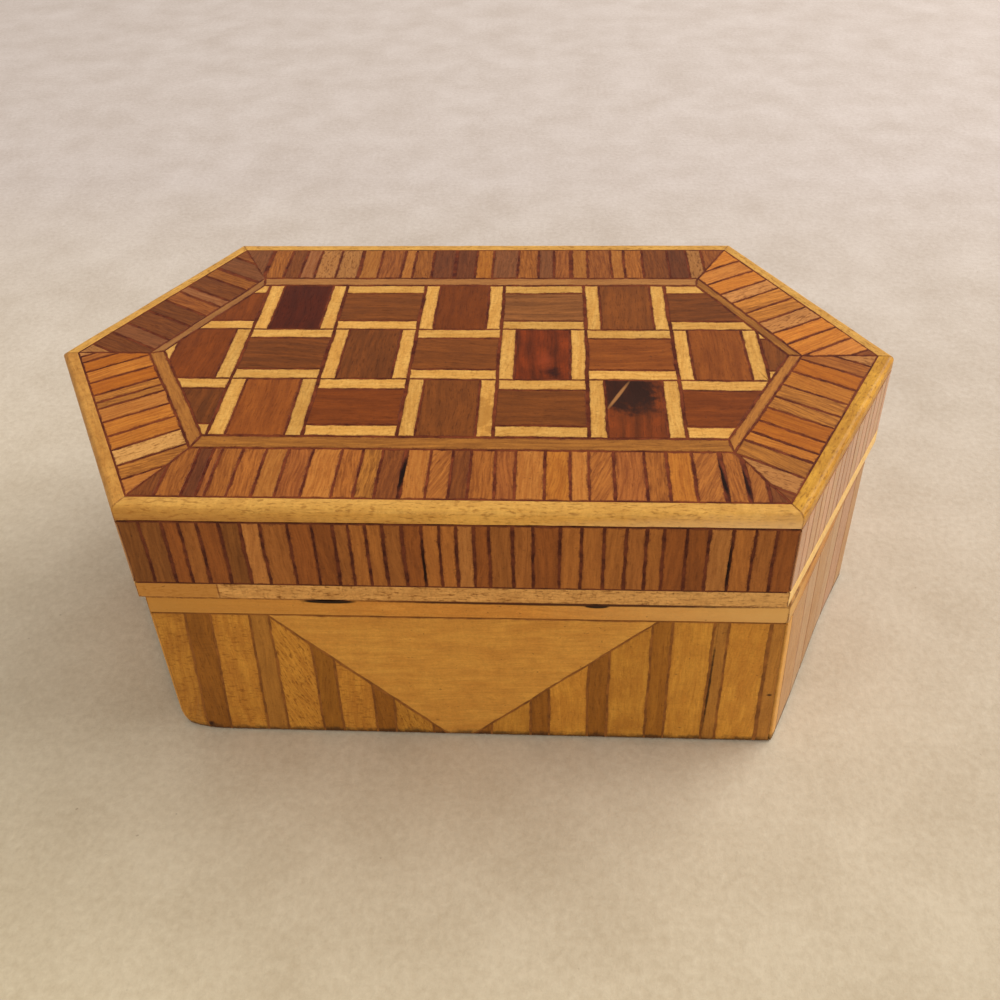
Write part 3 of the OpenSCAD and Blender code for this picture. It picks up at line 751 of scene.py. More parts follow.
# Laying the woods
ARRIS = 0.05 * MM
LEAST_EASED = 3 * ARRIS
CORNER_ROUND, CORNER_STEPS = 0.32 * MM, 3
BY_CORNER = 1.7 * MM
UPRIGHT_RISE = 0.9
STAIN_WIDTH = 0.45 * MM
STAIN_ROOM = 0.5
GLUE_SUNK = 0.05 * MM
GLUE_DEEP = 0.5 * MM
INSIDE_ONLY, GLUE_WELD = 1, 1e-4
# How far the base's front left corner is worn, and how far its front right corner stands out
WORN_REACH, WORN_HEIGHT, WORN_DEPTH = 5 * MM, 6 * MM, 1.5 * MM
WORN_FULL = 1.2
SPLAY_ALONG, SPLAY_BACK = 3.6 * MM, 36 * MM
SPLAY_TOP, SPLAY_BOTTOM = 1.3 * MM, 2.3 * MM
WORN_WAY = (outward(FRONT) + outward(FRONT - 1)).normalized()


def set_input(modifier, name, value):
    """Sets a modifier's input by its socket's identifier."""
    for item in modifier.node_group.interface.items_tree:
        if item.item_type == "SOCKET" and item.in_out == "INPUT" and item.name == name:
            modifier[item.identifier] = value
            return
    raise KeyError(name)


def put_in_scene(name, mesh):
    obj = bpy.data.objects.new(name, mesh)
    bpy.context.scene.collection.objects.link(obj)
    return obj


def made_by(tree, settings, flat, name):
    """What a tree makes of a mesh with these settings, as a plain piece at the origin."""
    source = put_in_scene(name + "_source", flat)
    modifier = source.modifiers.new("make", "NODES")
    modifier.node_group = tree
    for label, value in settings.items():
        set_input(modifier, label, value)
    graph = bpy.context.evaluated_depsgraph_get()
    mesh = bpy.data.meshes.new_from_object(source.evaluated_get(graph), depsgraph=graph)
    mesh.name = name
    bpy.data.objects.remove(source)
    return put_in_scene(name, mesh)


def made_mesh(work, name, material):
    mesh = bpy.data.meshes.new(name)
    work.to_mesh(mesh)
    work.free()
    mesh.materials.append(material)
    return mesh


def laying_tree(letters):
    """Lays flat outlines as woods: each gets its thickness and its material."""
    tree, n, take, give = new_tree("lay_woods_" + "".join(letters), "Geometry",
                                   {"Geometry": ["Outlines"], "Float": ["Thickness"]},
                                   {"Geometry": ["Woods"]})
    raised = n.put("GeometryNodeExtrudeMesh", {"mode": "FACES"}, Mesh=take["Outlines"],
                   Offset_Scale=0.0, Individual=True).outputs
    back = n.put("GeometryNodeInputNamedAttribute", {"data_type": "FLOAT_VECTOR"}, Name="back")
    deep = n.scaled(back.outputs["Attribute"], take["Thickness"])
    moved = n.put("GeometryNodeSetPosition", Geometry=raised["Mesh"], Selection=raised["Top"],
                  Offset=deep)
    both = n.put("GeometryNodeJoinGeometry")
    for part in (moved, take["Outlines"]):
        n.feed(both.inputs[0], part)
    last = n.put("GeometryNodeMergeByDistance", Geometry=both, Distance=WELD)
    last = n.put("GeometryNodeRealizeInstances", Geometry=last)
    for number, letter in enumerate(letters):
        kind = n.put("GeometryNodeInputNamedAttribute", {"data_type": "INT"}, Name="wood")
        same = n.put("FunctionNodeCompare", {"data_type": "INT", "operation": "EQUAL"})
        pair = [s for s in same.inputs if s.type == "INT"]
        n.feed(pair[0], kind.outputs["Attribute"])
        n.feed(pair[1], number)
        last = n.put("GeometryNodeSetMaterial", Geometry=last, Selection=same,
                     Material=WOODS[letter])
    n.feed(give["Woods"], last)
    return tree


def fill_attribute(mesh, name, kind, domain, values):
    data = mesh.attributes.new(name, kind, domain).data
    if kind == "FLOAT_VECTOR":
        data.foreach_set("vector", [x for v in values for x in v])
    else:
        data.foreach_set("value", values)


def lay_woods(name, cuts, body, nodes):
    """Lays these woods as one piece that stands for its CAD nodes."""
    letters = sorted({c.letter for c in cuts})
    points, faces = [], []
    for c in cuts:
        faces.append(range(len(points), len(points) + len(c.points)))
        points += c.points
    flat = bpy.data.meshes.new(name)
    flat.from_pydata(points, [], faces)
    fill_attribute(flat, "back", "FLOAT_VECTOR", "POINT", [b for c in cuts for b in c.backs()])
    fill_attribute(flat, "fibre", "FLOAT_VECTOR", "FACE", [c.fibre for c in cuts])
    fill_attribute(flat, "own", "FLOAT_VECTOR", "FACE", [c.own for c in cuts])
    fill_attribute(flat, "tone", "FLOAT", "FACE", [c.tone for c in cuts])
    fill_attribute(flat, "wood", "INT", "FACE", [letters.index(c.letter) for c in cuts])
    piece = made_by(laying_tree(letters), {"Thickness": LAID_THICKNESS}, flat, name)
    ease_woods(piece.data)
    finish_piece(piece, body, nodes)


def at_a_corner(edge):
    """Is this edge an upright one, at a corner of the box?"""
    start, end = (v.co for v in edge.verts)
    if abs((start - end).normalized().z) < UPRIGHT_RISE:
        return False
    flat = Vector((start.x, start.y, 0))
    return min((flat - c).length for c in CORNERS) < BY_CORNER


def bevel(work, edges, width, segments):
    bmesh.ops.bevel(work, geom=edges, offset=width, segments=segments, affect="EDGES",
                    profile=0.5)


def ease_woods(mesh):
    """Rounds the arris of every wood, and marks the rim where glue has stained it."""
    work = bmesh.new()
    work.from_mesh(mesh)
    bmesh.ops.recalc_face_normals(work, faces=work.faces)
    back = work.verts.layers.float_vector["back"]
    heart = work.faces.layers.int.new("heart")
    shown = [f for f in work.faces if f.normal.dot(f.verts[0][back]) < -UPRIGHT_RISE]
    rims = [e for f in shown for e in f.edges]
    corners = [e for e in rims if at_a_corner(e)]
    bmesh.ops.inset_individual(work, faces=shown, thickness=WELD, use_even_offset=False)
    for f in shown:
        f[heart] = 1
        draw_in(f)
    eased_rims = [e for e in rims if e.calc_length() > LEAST_EASED and not at_a_corner(e)]
    bevel(work, eased_rims, ARRIS, segments=1)
    corners = [e for e in corners if e.is_valid]
    if corners:
        bevel(work, corners, CORNER_ROUND, CORNER_STEPS)
    stain = work.verts.layers.float.new("stain")
    for v in work.verts:
        v[stain] = 0.0 if any(f[heart] for f in v.link_faces) else 1.0
    share_figure(work, [f for f in work.faces if f[heart]])
    work.to_mesh(mesh)
    work.free()


def draw_in(face):
    """Draws a wood's inner outline in by the width of the stain, less where it is narrow."""
    places = np.array([v.co for v in face.verts])
    run = np.roll(places, -1, 0) - np.roll(places, 1, 0)
    inward = np.cross(np.array(face.normal), run)
    inward /= np.linalg.norm(inward, axis=1)[:, None]
    gap = places[None] - places[:, None]
    rise = (gap * inward[:, None]).sum(2)
    near = np.where(rise > WELD, (gap ** 2).sum(2) / (2 * np.maximum(rise, WELD)), 1).min(1)
    places += inward * np.minimum(STAIN_WIDTH, STAIN_ROOM * near)[:, None]
    for v, place in zip(face.verts, places):
        v.co = place


def share_figure(work, hearts):
    """Gives every face of a wood the figure of its visible face."""
    vectors = [work.faces.layers.float_vector[name] for name in ("fibre", "own")]
    tone = work.faces.layers.float["tone"]
    done = set()
    for first in hearts:
        reached = [first]
        done.add(first)
        while reached:
            face = reached.pop()
            for layer in vectors:
                face[layer] = first[layer]
            face[tone] = first[tone]
            face.material_index = first.material_index
            for other in (g for e in face.edges for g in e.link_faces if g not in done):
                done.add(other)
                reached.append(other)


def wear_corner(mesh):
    """The corner of the base at the front left is worn round at the bottom."""
    for v in mesh.vertices:
        near = 1 + (v.co - CORNERS[FRONT]).dot(WORN_WAY) / WORN_REACH
        low = 1 - v.co.z / WORN_HEIGHT
        if near > 0 and low > 0:
            v.co -= WORN_WAY * WORN_DEPTH * min(1, near * WORN_FULL) ** 2 * low ** 2


def splay_corner(mesh):
    """The front right corner of the base stands further out than its left one, most of all
    at the bottom."""
    tip = CORNERS[FRONT + 1]
    for v in mesh.vertices:
        near = 1 - max((tip.x - v.co.x) / SPLAY_ALONG, (v.co.y - tip.y) / SPLAY_BACK)
        if near > 0:
            out = SPLAY_BOTTOM + (SPLAY_TOP - SPLAY_BOTTOM) * v.co.z / SEAM
            v.co.x += out * near * near * (3 - 2 * near)


def finish_piece(piece, body, nodes):
    if body == BASE:
        wear_corner(piece.data)
        splay_corner(piece.data)
    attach(piece, body)
    if nodes:
        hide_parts(*nodes)


def glue_web(name, cuts, border, run, facing, body, glue):
    """The glue between the woods of one face, a little below them. run is a way in that face."""
    rise = facing.cross(run)
    level = border[0].dot(facing) - GLUE_SUNK
    points, faces = [], []
    for ring in [resampled(border, BORDER_STEP)] + [c.points for c in cuts]:
        faces.append(list(range(len(points), len(points) + len(ring))))
        points += [Vector((p.dot(run) / MM, p.dot(rise) / MM)) for p in ring]
    places, _, webs, _, _, origins = geometry.delaunay_2d_cdt(
        points, [], faces, INSIDE_ONLY, GLUE_WELD, True)
    work = bmesh.new()
    verts = [work.verts.new((run * p.x + rise * p.y) * MM + facing * level) for p in places]
    for web, origin in zip(webs, origins):
        if list(origin) == [0]:
            work.faces.new([verts[k] for k in web])
    bmesh.ops.delete(work, geom=[v for v in work.verts if not v.link_faces], context="VERTS")
    lower = bmesh.ops.extrude_face_region(work, geom=list(work.faces))
    moved = [g for g in lower["geom"] if isinstance(g, bmesh.types.BMVert)]
    bmesh.ops.translate(work, verts=moved, vec=-facing * GLUE_DEEP)
    bmesh.ops.recalc_face_normals(work, faces=work.faces)
    finish_piece(put_in_scene(name, made_mesh(work, name, glue)), body, [])


# Strips, boards and hinges: finer copies of their CAD nodes
SHARP_ANGLE = 0.6
CUT_WELD = 1e-7
WORN_HEIGHTS = [h * MM for h in (1, 2.5, 4, 6, 9)]
WORN_BACKS = [b * MM for b in (3, 5, 7, 10)]
JOINT_CUT, JOINT_NEAR = 0.3 * MM, 0.15 * MM
STRIP_CUTS = 2.5 * MM
SEAM_CUT = 0.06 * MM
WEAR_REACH = 4 * MM
PULL_IN, PULL_FLAT = 0.5, 0.25
WEAR_SEED_REACH = 9
STRIP_TONES = (0.95, 1.05)
SOFT_ANGLE, HINGE_SOFT_ANGLE = math.radians(32), math.radians(30)


def cut_across(work, point, normal):
    everything = list(work.verts) + list(work.edges) + list(work.faces)
    bmesh.ops.bisect_plane(work, geom=everything, plane_co=point, plane_no=normal,
                           dist=CUT_WELD)


def rounded_copy(node, width, segments):
    """A copy of a CAD node with its sharp edges rounded."""
    work = cad_copy(node)
    sharp = [e for e in work.edges
             if len(e.link_faces) == 2 and e.calc_face_angle() > SHARP_ANGLE]
    bevel(work, sharp, width, segments)
    return work


def smooth(mesh, angle):
    mesh.shade_smooth()
    mesh.set_sharp_from_angle(angle=angle)


def cut_strip(work, side):
    """Cuts a strip along a side into short lengths, and gives the mitres at its ends."""
    joints = [mitre_plane(side), mitre_plane(side + 1)]
    for (point, normal), way in zip(joints, (1, -1)):
        cut_across(work, point + normal * way * JOINT_CUT, normal)
    length = side_length(side)
    for k in range(1, int(length / STRIP_CUTS)):
        place = middle(side) + along(side) * (k * STRIP_CUTS - length / 2)
        cut_across(work, place, along(side))
    return joints


def stain_joints_and_shade_seam(work, joints, seam):
    """Stains a piece at its mitres with glue, and paints shade on it from its level beside the
    seam to the seam itself.
    """
    levels = []
    if seam:
        levels = sorted((seam, SEAM))
        for way in (-1, 1):
            cut_across(work, UP * (seam + way * SEAM_CUT), UP)
    stain = work.verts.layers.float.new("stain")
    for v in work.verts:
        near = min((abs((v.co - p).dot(q)) for p, q in joints), default=1)
        darkened = near < JOINT_NEAR or levels and levels[0] < v.co.z < levels[1]
        v[stain] = 1.0 if darkened else 0.0


def wear_edges(work, side, seed, worn):
    """Lets the edges of a strip wander in by up to about worn."""
    heart = sum((v.co for v in work.verts), Vector()) / len(work.verts)
    for v in work.verts:
        amount = noise.noise(v.co / WEAR_REACH + seed) + 1
        pull = outward(side) * -PULL_IN - UP * math.copysign(PULL_FLAT, v.co.z - heart.z)
        v.co += pull * amount * worn


def eased(node, name, body, material, fibre, draw, arris, side=None, worn=0.0, seam=None):
    """A finer copy of a CAD node with rounded edges. A strip of a side also has worn edges."""
    work = rounded_copy(node, arris, segments=2)
    if node in ("base_wall_front", "base_wall_left_front"):
        for height in WORN_HEIGHTS:
            cut_across(work, UP * height, UP)
        for back in WORN_BACKS:
            cut_across(work, CORNERS[FRONT] - WORN_WAY * back, WORN_WAY)
    joints = cut_strip(work, side) if side is not None else []
    stain_joints_and_shade_seam(work, joints, seam)
    seed = Vector([draw.uniform(-WEAR_SEED_REACH, WEAR_SEED_REACH) for _ in range(3)])
    if worn:
        wear_edges(work, side, seed, worn)
    mesh = made_mesh(work, name, material)
    count = len(mesh.polygons)
    own = [draw.uniform(-PLANK_REACH, PLANK_REACH) for _ in range(3)]
    fill_attribute(mesh, "fibre", "FLOAT_VECTOR", "FACE", [fibre] * count)
    fill_attribute(mesh, "own", "FLOAT_VECTOR", "FACE", [own] * count)
    fill_attribute(mesh, "tone", "FLOAT", "FACE", [draw.uniform(*STRIP_TONES)] * count)
    smooth(mesh, SOFT_ANGLE)
    piece = put_in_scene(name, mesh)
    finish_piece(piece, body, [node])
    return piece


# Which wood goes where, each row from its start to its end going round the box
CROSS_BAND_WOODS = [
    "DBPRBBGRGBSD|GXDBRGOGXRBOX|B|XD",
    "DTSOVVSSOVBT",
    "DGOOTSSTOGO",
    "RTPDBGRG|RYBYOP|PBGRG|TTLDB|Y",
    "RY|BDLRDDYDT",
    "TBVOVSSGOOWSG",
]
# How light the cross-band of each side is
BORDER_TONES = [1.0, 1.04, 1.3, 0.92, 0.9, 1.14]
FRONT_BAND_WOODS = "112321532234432445233244434225432"
BACK_BAND_CHOICE, END_BAND_CHOICE = "1232324354", "6787877"
# The dark blocks of each row of the weave, from the front row to the back one
WEAVE_WOODS = ["gorbbkr", "rggbeoob", "rpbrlbg"]
STRINGING_WOODS = "szsaaz"
# Staves of a long side, and how light each of its light ones is: they differ at random, and the
# last ones of the row are lighter as painted light from the right of the front
LIGHT_STAVE_WOODS = "mmdmdhhhhhhh"
LIGHT_STAVE_TONES_AND_LIGHT = [0.92, 0.94, 0.97, 0.97, 0.82, 0.86, 0.98, 0.95, 1.04, 1.15]
DARK_STAVE_WOODS = "uvwuuuuuwvvv"
END_STAVE_WOODS = {"right_front": "niniqn", "left_back": "niniqn"}
OTHER_END_STAVES = "nqinin"
EDGINGS = {"right_front": EDGING_GOLD, "left_front": EDGING_DARK}
THICK_LINE = 0.17 * MM
TOP_JOINT, BAND_JOINT = 0.05 * MM, 0.07 * MM
AT_JOINT = 0.4 * MM
WEAVE_JOINT_MM = (0.04, 0.2)
TOP_GLUE_INSET = 2.5 * MM
SIDE_GLUE_SHORT = 0.5 * MM
LONG_SHAPE = 4


def wood_plan(text):
    """Letters of a row's woods, and for each whether its left and its right edge draw back.
    A bar in the plan is a thick glue line, and the woods on both sides of it draw back."""
    letters, pulls = [], []
    for k, letter in enumerate(text):
        if letter != "|":
            left = 1 if k and text[k - 1] == "|" else 0
            right = 1 if text[k + 1:k + 2] == "|" else 0
            letters.append(letter)
            pulls.append((left, right))
    return letters, pulls


def drawn_back(points, i, pull):
    """An outline with its two long edges drawn back from the glue lines beside it."""
    places = [side_place(i, p) for p in points]
    half = (min(places) + max(places)) / 2
    left, right = pull
    return [p + along(i) * (left if place < half else -right)
            for p, place in zip(points, places)]


def row_cuts(node, i, facing, text, fibre, draw, widest, side=None):
    """The woods of one row. Each joint is widened at random, and more where the plan says."""
    rows = in_order(outlines(node, facing), i)
    letters, pulls = wood_plan(text)
    if len(letters) != len(rows):
        raise ValueError(f"{node} has {len(rows)} woods and its plan {len(letters)}")
    joints = [0] + [draw.uniform(0, widest) for _ in rows[1:]] + [0]
    pulls = [(left * THICK_LINE + joints[k], right * THICK_LINE + joints[k + 1])
             for k, (left, right) in enumerate(pulls)]
    return [Cut(drawn_back(points, i, pull), facing, letter, fibre, draw, side)
            for points, letter, pull in zip(rows, letters, pulls)]


def set_tones(cuts, tones):
    """Makes woods lighter or darker, each as its place in the box asks."""
    for cut, tone in zip(cuts, tones):
        cut.tone *= tone


def lay_top(draw):
    """The cross-bands, the stringing line and the basket weave, and the glue between them."""
    laid = []
    for i, side in enumerate(SIDES):
        node = "lid_cross_band_" + side
        cuts = row_cuts(node, i, UP, CROSS_BAND_WOODS[i], outward(i), draw, TOP_JOINT)
        set_tones(cuts, [BORDER_TONES[i]] * len(cuts))
        lay_woods("cross_band_" + side, cuts, LID, [node])
        laid += cuts
    for node, name, slot, cuts in (
            ("lid_stringing", "stringing_line", "stringing_wood", stringing_cuts(draw)),
            ("weave_dark_blocks", "weave_blocks", "weave_dark",
             weave_cuts("weave_dark_blocks", draw, dark=True)),
            ("weave_light_strips", "weave_strips", "weave_light",
             weave_cuts("weave_light_strips", draw, dark=False))):
        lay_woods(name, cuts, LID, [node])
        laid += cuts
    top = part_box("lid_stringing")[1].z
    border = [p + UP * top for p in inset_plan(TOP_GLUE_INSET)]
    glue_web("lid_top_glue", laid, border, ALONG_X, UP, LID, RED_GLUE)


def stringing_cuts(draw):
    cuts = []
    for points in outlines("lid_stringing", UP):
        i = max(range(6), key=lambda k: centre(points).dot(outward(k)))
        cuts.append(Cut(points, UP, STRINGING_WOODS[i], along(i), draw))
    return cuts


def weave_cuts(node, draw, dark):
    cuts = []
    rows = {}
    columns = weave_joints()
    for points in outlines(node, UP):
        low, high = extent(points)
        rows.setdefault(weave_row(centre(points).y), []).append((points, high - low))
    for row in sorted(rows):
        rows[row].sort(key=lambda item: centre(item[0]).x)
        for k, (points, size) in enumerate(rows[row]):
            letter = WEAVE_WOODS[row][k] if dark else "c"
            fibre = ALONG_Y if size.y > size.x else ALONG_X
            points = [beside_joint(p, columns, centre(points).x, draw) for p in points]
            cuts.append(Cut(points, UP, letter, fibre, draw))
    return cuts


def weave_joints():
    """Places along the box of the upright joints between the squares of the weave."""
    joints = set()
    for points in outlines("weave_light_strips", UP):
        low, high = extent(points)
        if high.x - low.x > LONG_SHAPE * (high.y - low.y):
            joints.update(round(x / MM, 1) for x in (low.x, high.x))
    return [x * MM for x in joints]


def beside_joint(point, joints, heart, draw):
    """A corner point, drawn back from an upright joint of the weave to widen its glue line."""
    if min(abs(point.x - x) for x in joints) > AT_JOINT:
        return point
    back = draw.uniform(*WEAVE_JOINT_MM) * MM
    return point + ALONG_X * math.copysign(back, heart - point.x)


def weave_row(y):
    low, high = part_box("weave_dark_blocks")
    rows = len(WEAVE_WOODS)
    return min(rows - 1, int((y - low.y) / ((high.y - low.y) / rows)))


def side_border(i, depth, bottom, top):
    """Border of the glue on one side, short of the box's corners."""
    half = side_length(i) / 2 - depth * NEXT_SIDES_MEET - SIDE_GLUE_SHORT
    start = middle(i) - outward(i) * depth
    return [start + along(i) * way * half + UP * height
            for way, height in ((-1, bottom), (1, bottom), (1, top), (-1, top))]


def lay_side_bands(draw):
    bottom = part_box("lid_lip_strip_front")[1].z
    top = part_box("lid_edging_front")[0].z
    for i, side in enumerate(SIDES):
        node = "lid_side_band_" + side
        text = FRONT_BAND_WOODS
        if i != FRONT:
            choice = BACK_BAND_CHOICE if i == BACK else END_BAND_CHOICE
            text = "".join(draw.choice(choice) for _ in outlines(node, outward(i)))
        cuts = row_cuts(node, i, outward(i), text, UP, draw, BAND_JOINT, i)
        lay_woods("side_band_" + side, cuts, LID, [node])
        glue = BAND_GLUE if i in LONG_SIDES else END_BAND_GLUE
        glue_web("side_band_glue_" + side, cuts, side_border(i, 0, bottom, top), along(i),
                 outward(i), LID, glue)


def stave_cuts(node, i, letters, draw):
    """The staves of a node on one side, in their order."""
    shapes = in_order(outlines_on(node, i), i)
    return [Cut(p, outward(i), letter, UP, draw, i) for p, letter in zip(shapes, letters)]


def lay_base_sides(draw):
    overhang = RIM_LOW.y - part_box("lid_edging_front")[0].y
    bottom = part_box("base_light_staves")[0].z
    light, dark, ends = [], [], []
    for i, side in enumerate(SIDES):
        if i in LONG_SIDES:
            staves = stave_cuts("base_light_staves", i, LIGHT_STAVE_WOODS, draw)
            set_tones(staves, LIGHT_STAVE_TONES_AND_LIGHT)
            others = stave_cuts("base_dark_staves", i, DARK_STAVE_WOODS, draw)
            dark += others
            node = side + "_triangle"
            wedge = [Cut(p, outward(i), "t", along(i), draw)
                     for p in outlines(node, outward(i))]
            lay_woods("triangle_" + side, wedge, BASE, [node])
            others = others + wedge
        else:
            staves = stave_cuts("base_light_staves", i, "M", draw)
            letters = END_STAVE_WOODS.get(side, OTHER_END_STAVES)
            others = stave_cuts("base_end_staves", i, letters, draw)
            ends += others
        light += staves
        glue = PALE_GLUE if i in LONG_SIDES else END_GLUE
        glue_web("base_glue_" + side, staves + others,
                 side_border(i, overhang, bottom, RIM_LOW.z), along(i), outward(i), BASE, glue)
    lay_woods("light_staves", light, BASE, ["base_light_staves"])
    lay_woods("dark_staves", dark, BASE, ["base_dark_staves"])
    lay_woods("end_staves", ends, BASE, ["base_end_staves"])


# Eased strips and boards
EDGING_ARRIS, STRIP_ARRIS, BOARD_ARRIS = 0.14 * MM, 0.1 * MM, 0.08 * MM
EDGING_WEAR, STRIP_WEAR = 0.12 * MM, 0.06 * MM
# Levels from which the lip and rim strips get painted shade up or down to the seam
LIP_SEAM_SHADE, RIM_SEAM_SHADE = SEAM + 0.25 * MM, SEAM - 1.15 * MM
NICK_BELOW = SEAM - 0.25 * MM
NICK_SLOPE = 0.3


def ease_strips(draw):
    for i, side in enumerate(SIDES):
        eased("lid_edging_" + side, "edging_" + side, LID,
              EDGINGS.get(side, EDGING_MAPLE), along(i), draw, EDGING_ARRIS, i, EDGING_WEAR)
        lip_wood = LIP_MAPLE if i in LONG_SIDES else LIP_END_MAPLE
        eased("lid_lip_strip_" + side, "lip_strip_" + side, LID, lip_wood, along(i),
              draw, STRIP_ARRIS, i, STRIP_WEAR, LIP_SEAM_SHADE)
        rim = eased("base_rim_strip_" + side, "rim_strip_" + side, BASE, RIM_MAPLE,
                    along(i), draw, STRIP_ARRIS, i, STRIP_WEAR, RIM_SEAM_SHADE)
        if i == FRONT:
            blacken_nicks(rim.data)


def blacken_nicks(mesh):
    """Painted shade in the two nicks for a finger nail: their upward faces below the seam get a
    near-black material.
    """
    mesh.materials.append(NICK_PAINTED_SHADE)
    for face in mesh.polygons:
        if face.normal.z > NICK_SLOPE and face.center.z < NICK_BELOW:
            face.material_index = 1


def ease_boards(draw):
    boards = [(f"{body}_wall_{side}", f"{body}_board_{side}", body, along(i))
              for i, side in enumerate(SIDES) for body in (BASE, LID)]
    boards += [("bottom_board", "bottom_panel", BASE, ALONG_X),
               ("lid_board", "lid_panel", LID, ALONG_X)]
    for node, name, body, fibre in boards:
        eased(node, name, body, BOARD_WOOD, fibre, draw, BOARD_ARRIS)


# Hinges
SCREW_SIZES = {"Head diameter": 2.0 * MM, "Shank diameter": 1.2 * MM, "Length": 3.8 * MM,
               "Slot width": 0.3 * MM, "Slot depth": 0.25 * MM}
SCREW_ROWS = [-35.5, -26.5, 26.5, 35.5]
SCREW_SIDES = 32
SCREW_SEEDS = {BASE: 7, LID: 8}
HINGE_ARRIS = 0.05 * MM


def ease_hinges(metal, steel):
    for node, name, body, material in (
            ("base_hinge_leaves", "base_leaves", BASE, metal),
            ("lid_hinge_leaves", "lid_leaves", LID, metal),
            ("hinge_pins", "pins", BASE, steel)):
        mesh = made_mesh(rounded_copy(node, HINGE_ARRIS, segments=1), name, material)
        smooth(mesh, HINGE_SOFT_ANGLE)
        finish_piece(put_in_scene(name, mesh), body, [node])


def screw_tree(metal):
    """Countersunk screws at given points, each turned at random about its axis."""
    tree, n, take, give = new_tree("set_screws", "Geometry", {
        "Geometry": ["Places"], "Float": [*SCREW_SIZES, "Flip"], "Int": ["Seed"],
    }, {"Geometry": ["Screws"]})

    def lowered(part, depth):
        down = n.put("ShaderNodeCombineXYZ", Z=n.times(depth, -1.0))
        return n.put("GeometryNodeTransform", Geometry=part, Translation=down)

    def cone(top, bottom, depth):
        return n.put("GeometryNodeMeshCone", Vertices=SCREW_SIDES, Radius_Top=top,
                     Radius_Bottom=bottom, Depth=depth).outputs["Mesh"]

    head_r = n.times(take["Head diameter"], 0.5)
    shank_r = n.times(take["Shank diameter"], 0.5)
    sink = n.minus(head_r, shank_r)
    head = lowered(cone(head_r, shank_r, sink), sink)
    tip_r = n.times(shank_r, 0.5)
    shank = lowered(cone(shank_r, tip_r, n.minus(take["Length"], sink)), take["Length"])
    size = n.put("ShaderNodeCombineXYZ", X=n.times(take["Head diameter"], 2.0),
                 Y=take["Slot width"], Z=n.times(take["Slot depth"], 2.0))
    slot = n.put("GeometryNodeMeshCube", Size=size)
    cut = n.put("GeometryNodeMeshBoolean", {"operation": "DIFFERENCE"}, Mesh_1=head,
                Mesh_2=slot.outputs["Mesh"])
    whole = n.put("GeometryNodeJoinGeometry")
    for part in (cut.outputs["Mesh"], shank):
        n.feed(whole.inputs[0], part)
    turn = n.put("FunctionNodeRandomValue", {"data_type": "FLOAT"}, Seed=take["Seed"])
    limits = [s for s in turn.inputs if s.type == "VALUE"]
    n.feed(limits[0], 0.0)
    n.feed(limits[1], math.pi)
    angle = next(s for s in turn.outputs if s.type == "VALUE")
    pose = n.put("ShaderNodeCombineXYZ", X=take["Flip"], Z=angle)
    pose = n.put("FunctionNodeEulerToRotation", Euler=pose)
    copies = n.put("GeometryNodeInstanceOnPoints", Points=take["Places"], Instance=whole,
                   Rotation=pose)
    real = n.put("GeometryNodeRealizeInstances", Geometry=copies)
    n.feed(give["Screws"], n.put("GeometryNodeSetMaterial", Geometry=real, Material=metal))
    return tree


def screw_places(node):
    """The middle of each screw's head in a CAD node."""
    work = cad_copy(node)
    low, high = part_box(node)
    found = {}
    for v in work.verts:
        key = min(SCREW_ROWS, key=lambda x: abs(x - v.co.x / MM))
        found.setdefault(key, []).append(v.co.copy())
    work.free()
    level = high.z if node.startswith(BASE) else low.z
    middles = [sum(extent(points), Vector()) / 2 for points in found.values()]
    return [Vector((p.x, p.y, level)) for p in middles]


def set_screws(metal):
    for body, flip in ((BASE, 0.0), (LID, math.pi)):
        node = body + "_hinge_screws"
        points = bpy.data.meshes.new(node)
        points.from_pydata(screw_places(node), [], [])
        sizes = {**SCREW_SIZES, "Flip": flip, "Seed": SCREW_SEEDS[body]}
        piece = made_by(screw_tree(metal), sizes, points, body + "_screws")
        finish_piece(piece, body, [node])


# Floor, light and camera
FLOOR_HALF = 3.0
FELT_COLOUR, FELT_SHADE = rgb(220, 208, 191), rgb(202, 188, 169)
FELT_SPECK = rgb(150, 128, 104)
# The felt is tinted by its own place, as painted light and shade: lighter and warm in front at
# the left, darker in front at the right, and cool far behind the box
FELT_LIGHT_NEAR_LEFT, FELT_SHADE_NEAR_RIGHT = (1.12, 1.1, 0.94), (0.92, 0.89, 0.79)
FELT_COOL_LIGHT_FAR = (1.0, 1.0, 1.12)
FELT_NEAR_Y, FELT_FAR_Y, FELT_REACH_X = -90.0, 190.0, 110.0
FELT_CLOUD, FELT_FUZZ = 0.45, 0.55
FELT_ROUGHNESS, FELT_DEPTH = 0.95, 0.3 * MM
# Each lamp's place, size, power and colour
LAMPS = {
    "window_right": ((1.2, 0.56, 1.12), (1.6, 1.28), 24.5, (1, 0.97, 0.93)),
    "soft_front": ((0.25, -1.25, 0.5), (1.2, 0.7), 4.2, (1, 0.94, 0.84)),
}
LAMP_TARGET = Vector((0, 0, 0.03))
ROOM_COLOUR, ROOM_STRENGTH = rgb(244, 240, 235), 0.6
CAMERA_YAW, CAMERA_PITCH, CAMERA_ROLL = 0.0636, 0.6066, -0.0323
CAMERA_PLACE = Vector((15.34, -155.0, 164.7)) * MM
CAMERA_LENS, CAMERA_SENSOR, CAMERA_SHIFT = 37.54, 36, -0.15


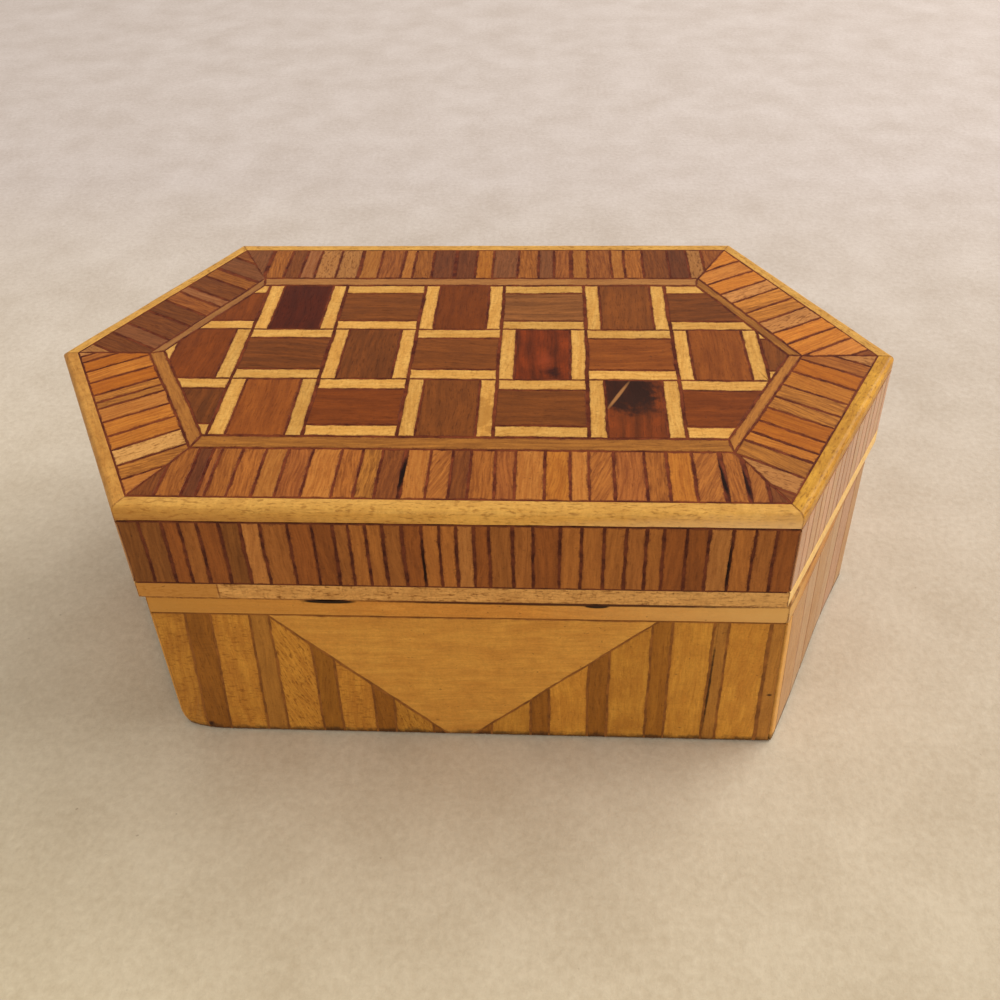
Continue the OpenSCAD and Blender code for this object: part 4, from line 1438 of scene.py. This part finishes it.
def felt_floor():
    material, n, shader = new_material("pale_felt", DIM_SPECULAR)
    place = n.place()
    cloud = n.noise(place, scale=0.05, detail=4.0, roughness=0.6)
    fuzz = n.noise(place, scale=0.7, detail=5.0, roughness=0.72)
    shade = n.plus(n.times(cloud, FELT_CLOUD), n.times(fuzz, FELT_FUZZ))
    felt = n.blend(n.spread(shade, low=0.38, high=0.62), FELT_SHADE, FELT_COLOUR)
    parts = n.put("ShaderNodeSeparateXYZ", Vector=place).outputs
    right = n.spread(parts["X"], -FELT_REACH_X, FELT_REACH_X)
    back = n.spread(parts["Y"], FELT_NEAR_Y, FELT_FAR_Y)
    # Painted light and shade on the felt, by its place
    felt_light_and_shade = n.blend(back, n.blend(right, FELT_LIGHT_NEAR_LEFT, FELT_SHADE_NEAR_RIGHT), FELT_COOL_LIGHT_FAR)
    felt = n.blend(1.0, felt, felt_light_and_shade, "MULTIPLY")
    speck = n.noise(place, scale=0.75, detail=1.0)
    specks = n.spread(speck, low=0.79, high=0.83, new_high=0.45)
    n.feed(shader["Base Color"], n.blend(specks, felt, FELT_SPECK))
    n.feed(shader["Normal"], n.bump(fuzz, strength=0.4, distance=FELT_DEPTH))
    shader["Roughness"].default_value = FELT_ROUGHNESS
    mesh = bpy.data.meshes.new("felt_floor")
    corners = [(x * FLOOR_HALF, y * FLOOR_HALF, 0)
               for x, y in ((-1, -1), (1, -1), (1, 1), (-1, 1))]
    mesh.from_pydata(corners, [], [(0, 1, 2, 3)])
    mesh.materials.append(material)
    put_in_scene("felt_floor", mesh)


def area_light(name, place, size, power, colour):
    data = bpy.data.lights.new(name, "AREA")
    data.shape = "RECTANGLE"
    data.size, data.size_y = size
    data.energy = power
    data.color = colour
    lamp = put_in_scene(name, data)
    lamp.location = place
    lamp.rotation_euler = (LAMP_TARGET - Vector(place)).to_track_quat("-Z", "Y").to_euler()


def light_the_scene():
    for name, facts in LAMPS.items():
        area_light(name, *facts)
    world = bpy.data.worlds.new("pale_room")
    bpy.context.scene.world = world
    world.use_nodes = True
    back = next(x for x in world.node_tree.nodes if x.type == "BACKGROUND")
    back.inputs["Color"].default_value = (*ROOM_COLOUR, 1)
    back.inputs["Strength"].default_value = ROOM_STRENGTH


def place_camera():
    """The photograph's viewpoint, as found from the box's corners in it."""
    cosine, sine = math.cos(CAMERA_YAW), math.sin(CAMERA_YAW)
    level = Vector((cosine, sine, 0))
    ahead = Vector((-sine, cosine, 0)) * math.cos(CAMERA_PITCH) - UP * math.sin(CAMERA_PITCH)
    rise = level.cross(ahead)
    right = level * math.cos(CAMERA_ROLL) + rise * math.sin(CAMERA_ROLL)
    top = -level * math.sin(CAMERA_ROLL) + rise * math.cos(CAMERA_ROLL)
    data = bpy.data.cameras.new("camera")
    data.sensor_width = CAMERA_SENSOR
    data.lens = CAMERA_LENS
    data.shift_y = CAMERA_SHIFT
    camera = put_in_scene("camera", data)
    turn = Matrix((right, top, -ahead)).transposed().to_4x4()
    camera.matrix_world = Matrix.Translation(CAMERA_PLACE) @ turn
    bpy.context.scene.camera = camera


def main():
    draw = random.Random(DRAW_SEED)
    lay_top(draw)
    lay_side_bands(draw)
    lay_base_sides(draw)
    ease_strips(draw)
    ease_boards(draw)
    metal = brass("aged_brass", light=(196, 158, 84), dark=(134, 98, 52), polish=0.28)
    pins = brass("pin_brass", light=(186, 150, 88), dark=(126, 96, 58), polish=0.25)
    ease_hinges(metal, pins)
    set_screws(brass("screw_brass", light=(190, 152, 82), dark=(120, 88, 48), polish=0.3))
    felt_floor()
    light_the_scene()
    place_camera()
    bpy.context.scene.view_settings.view_transform = "Standard"


main()
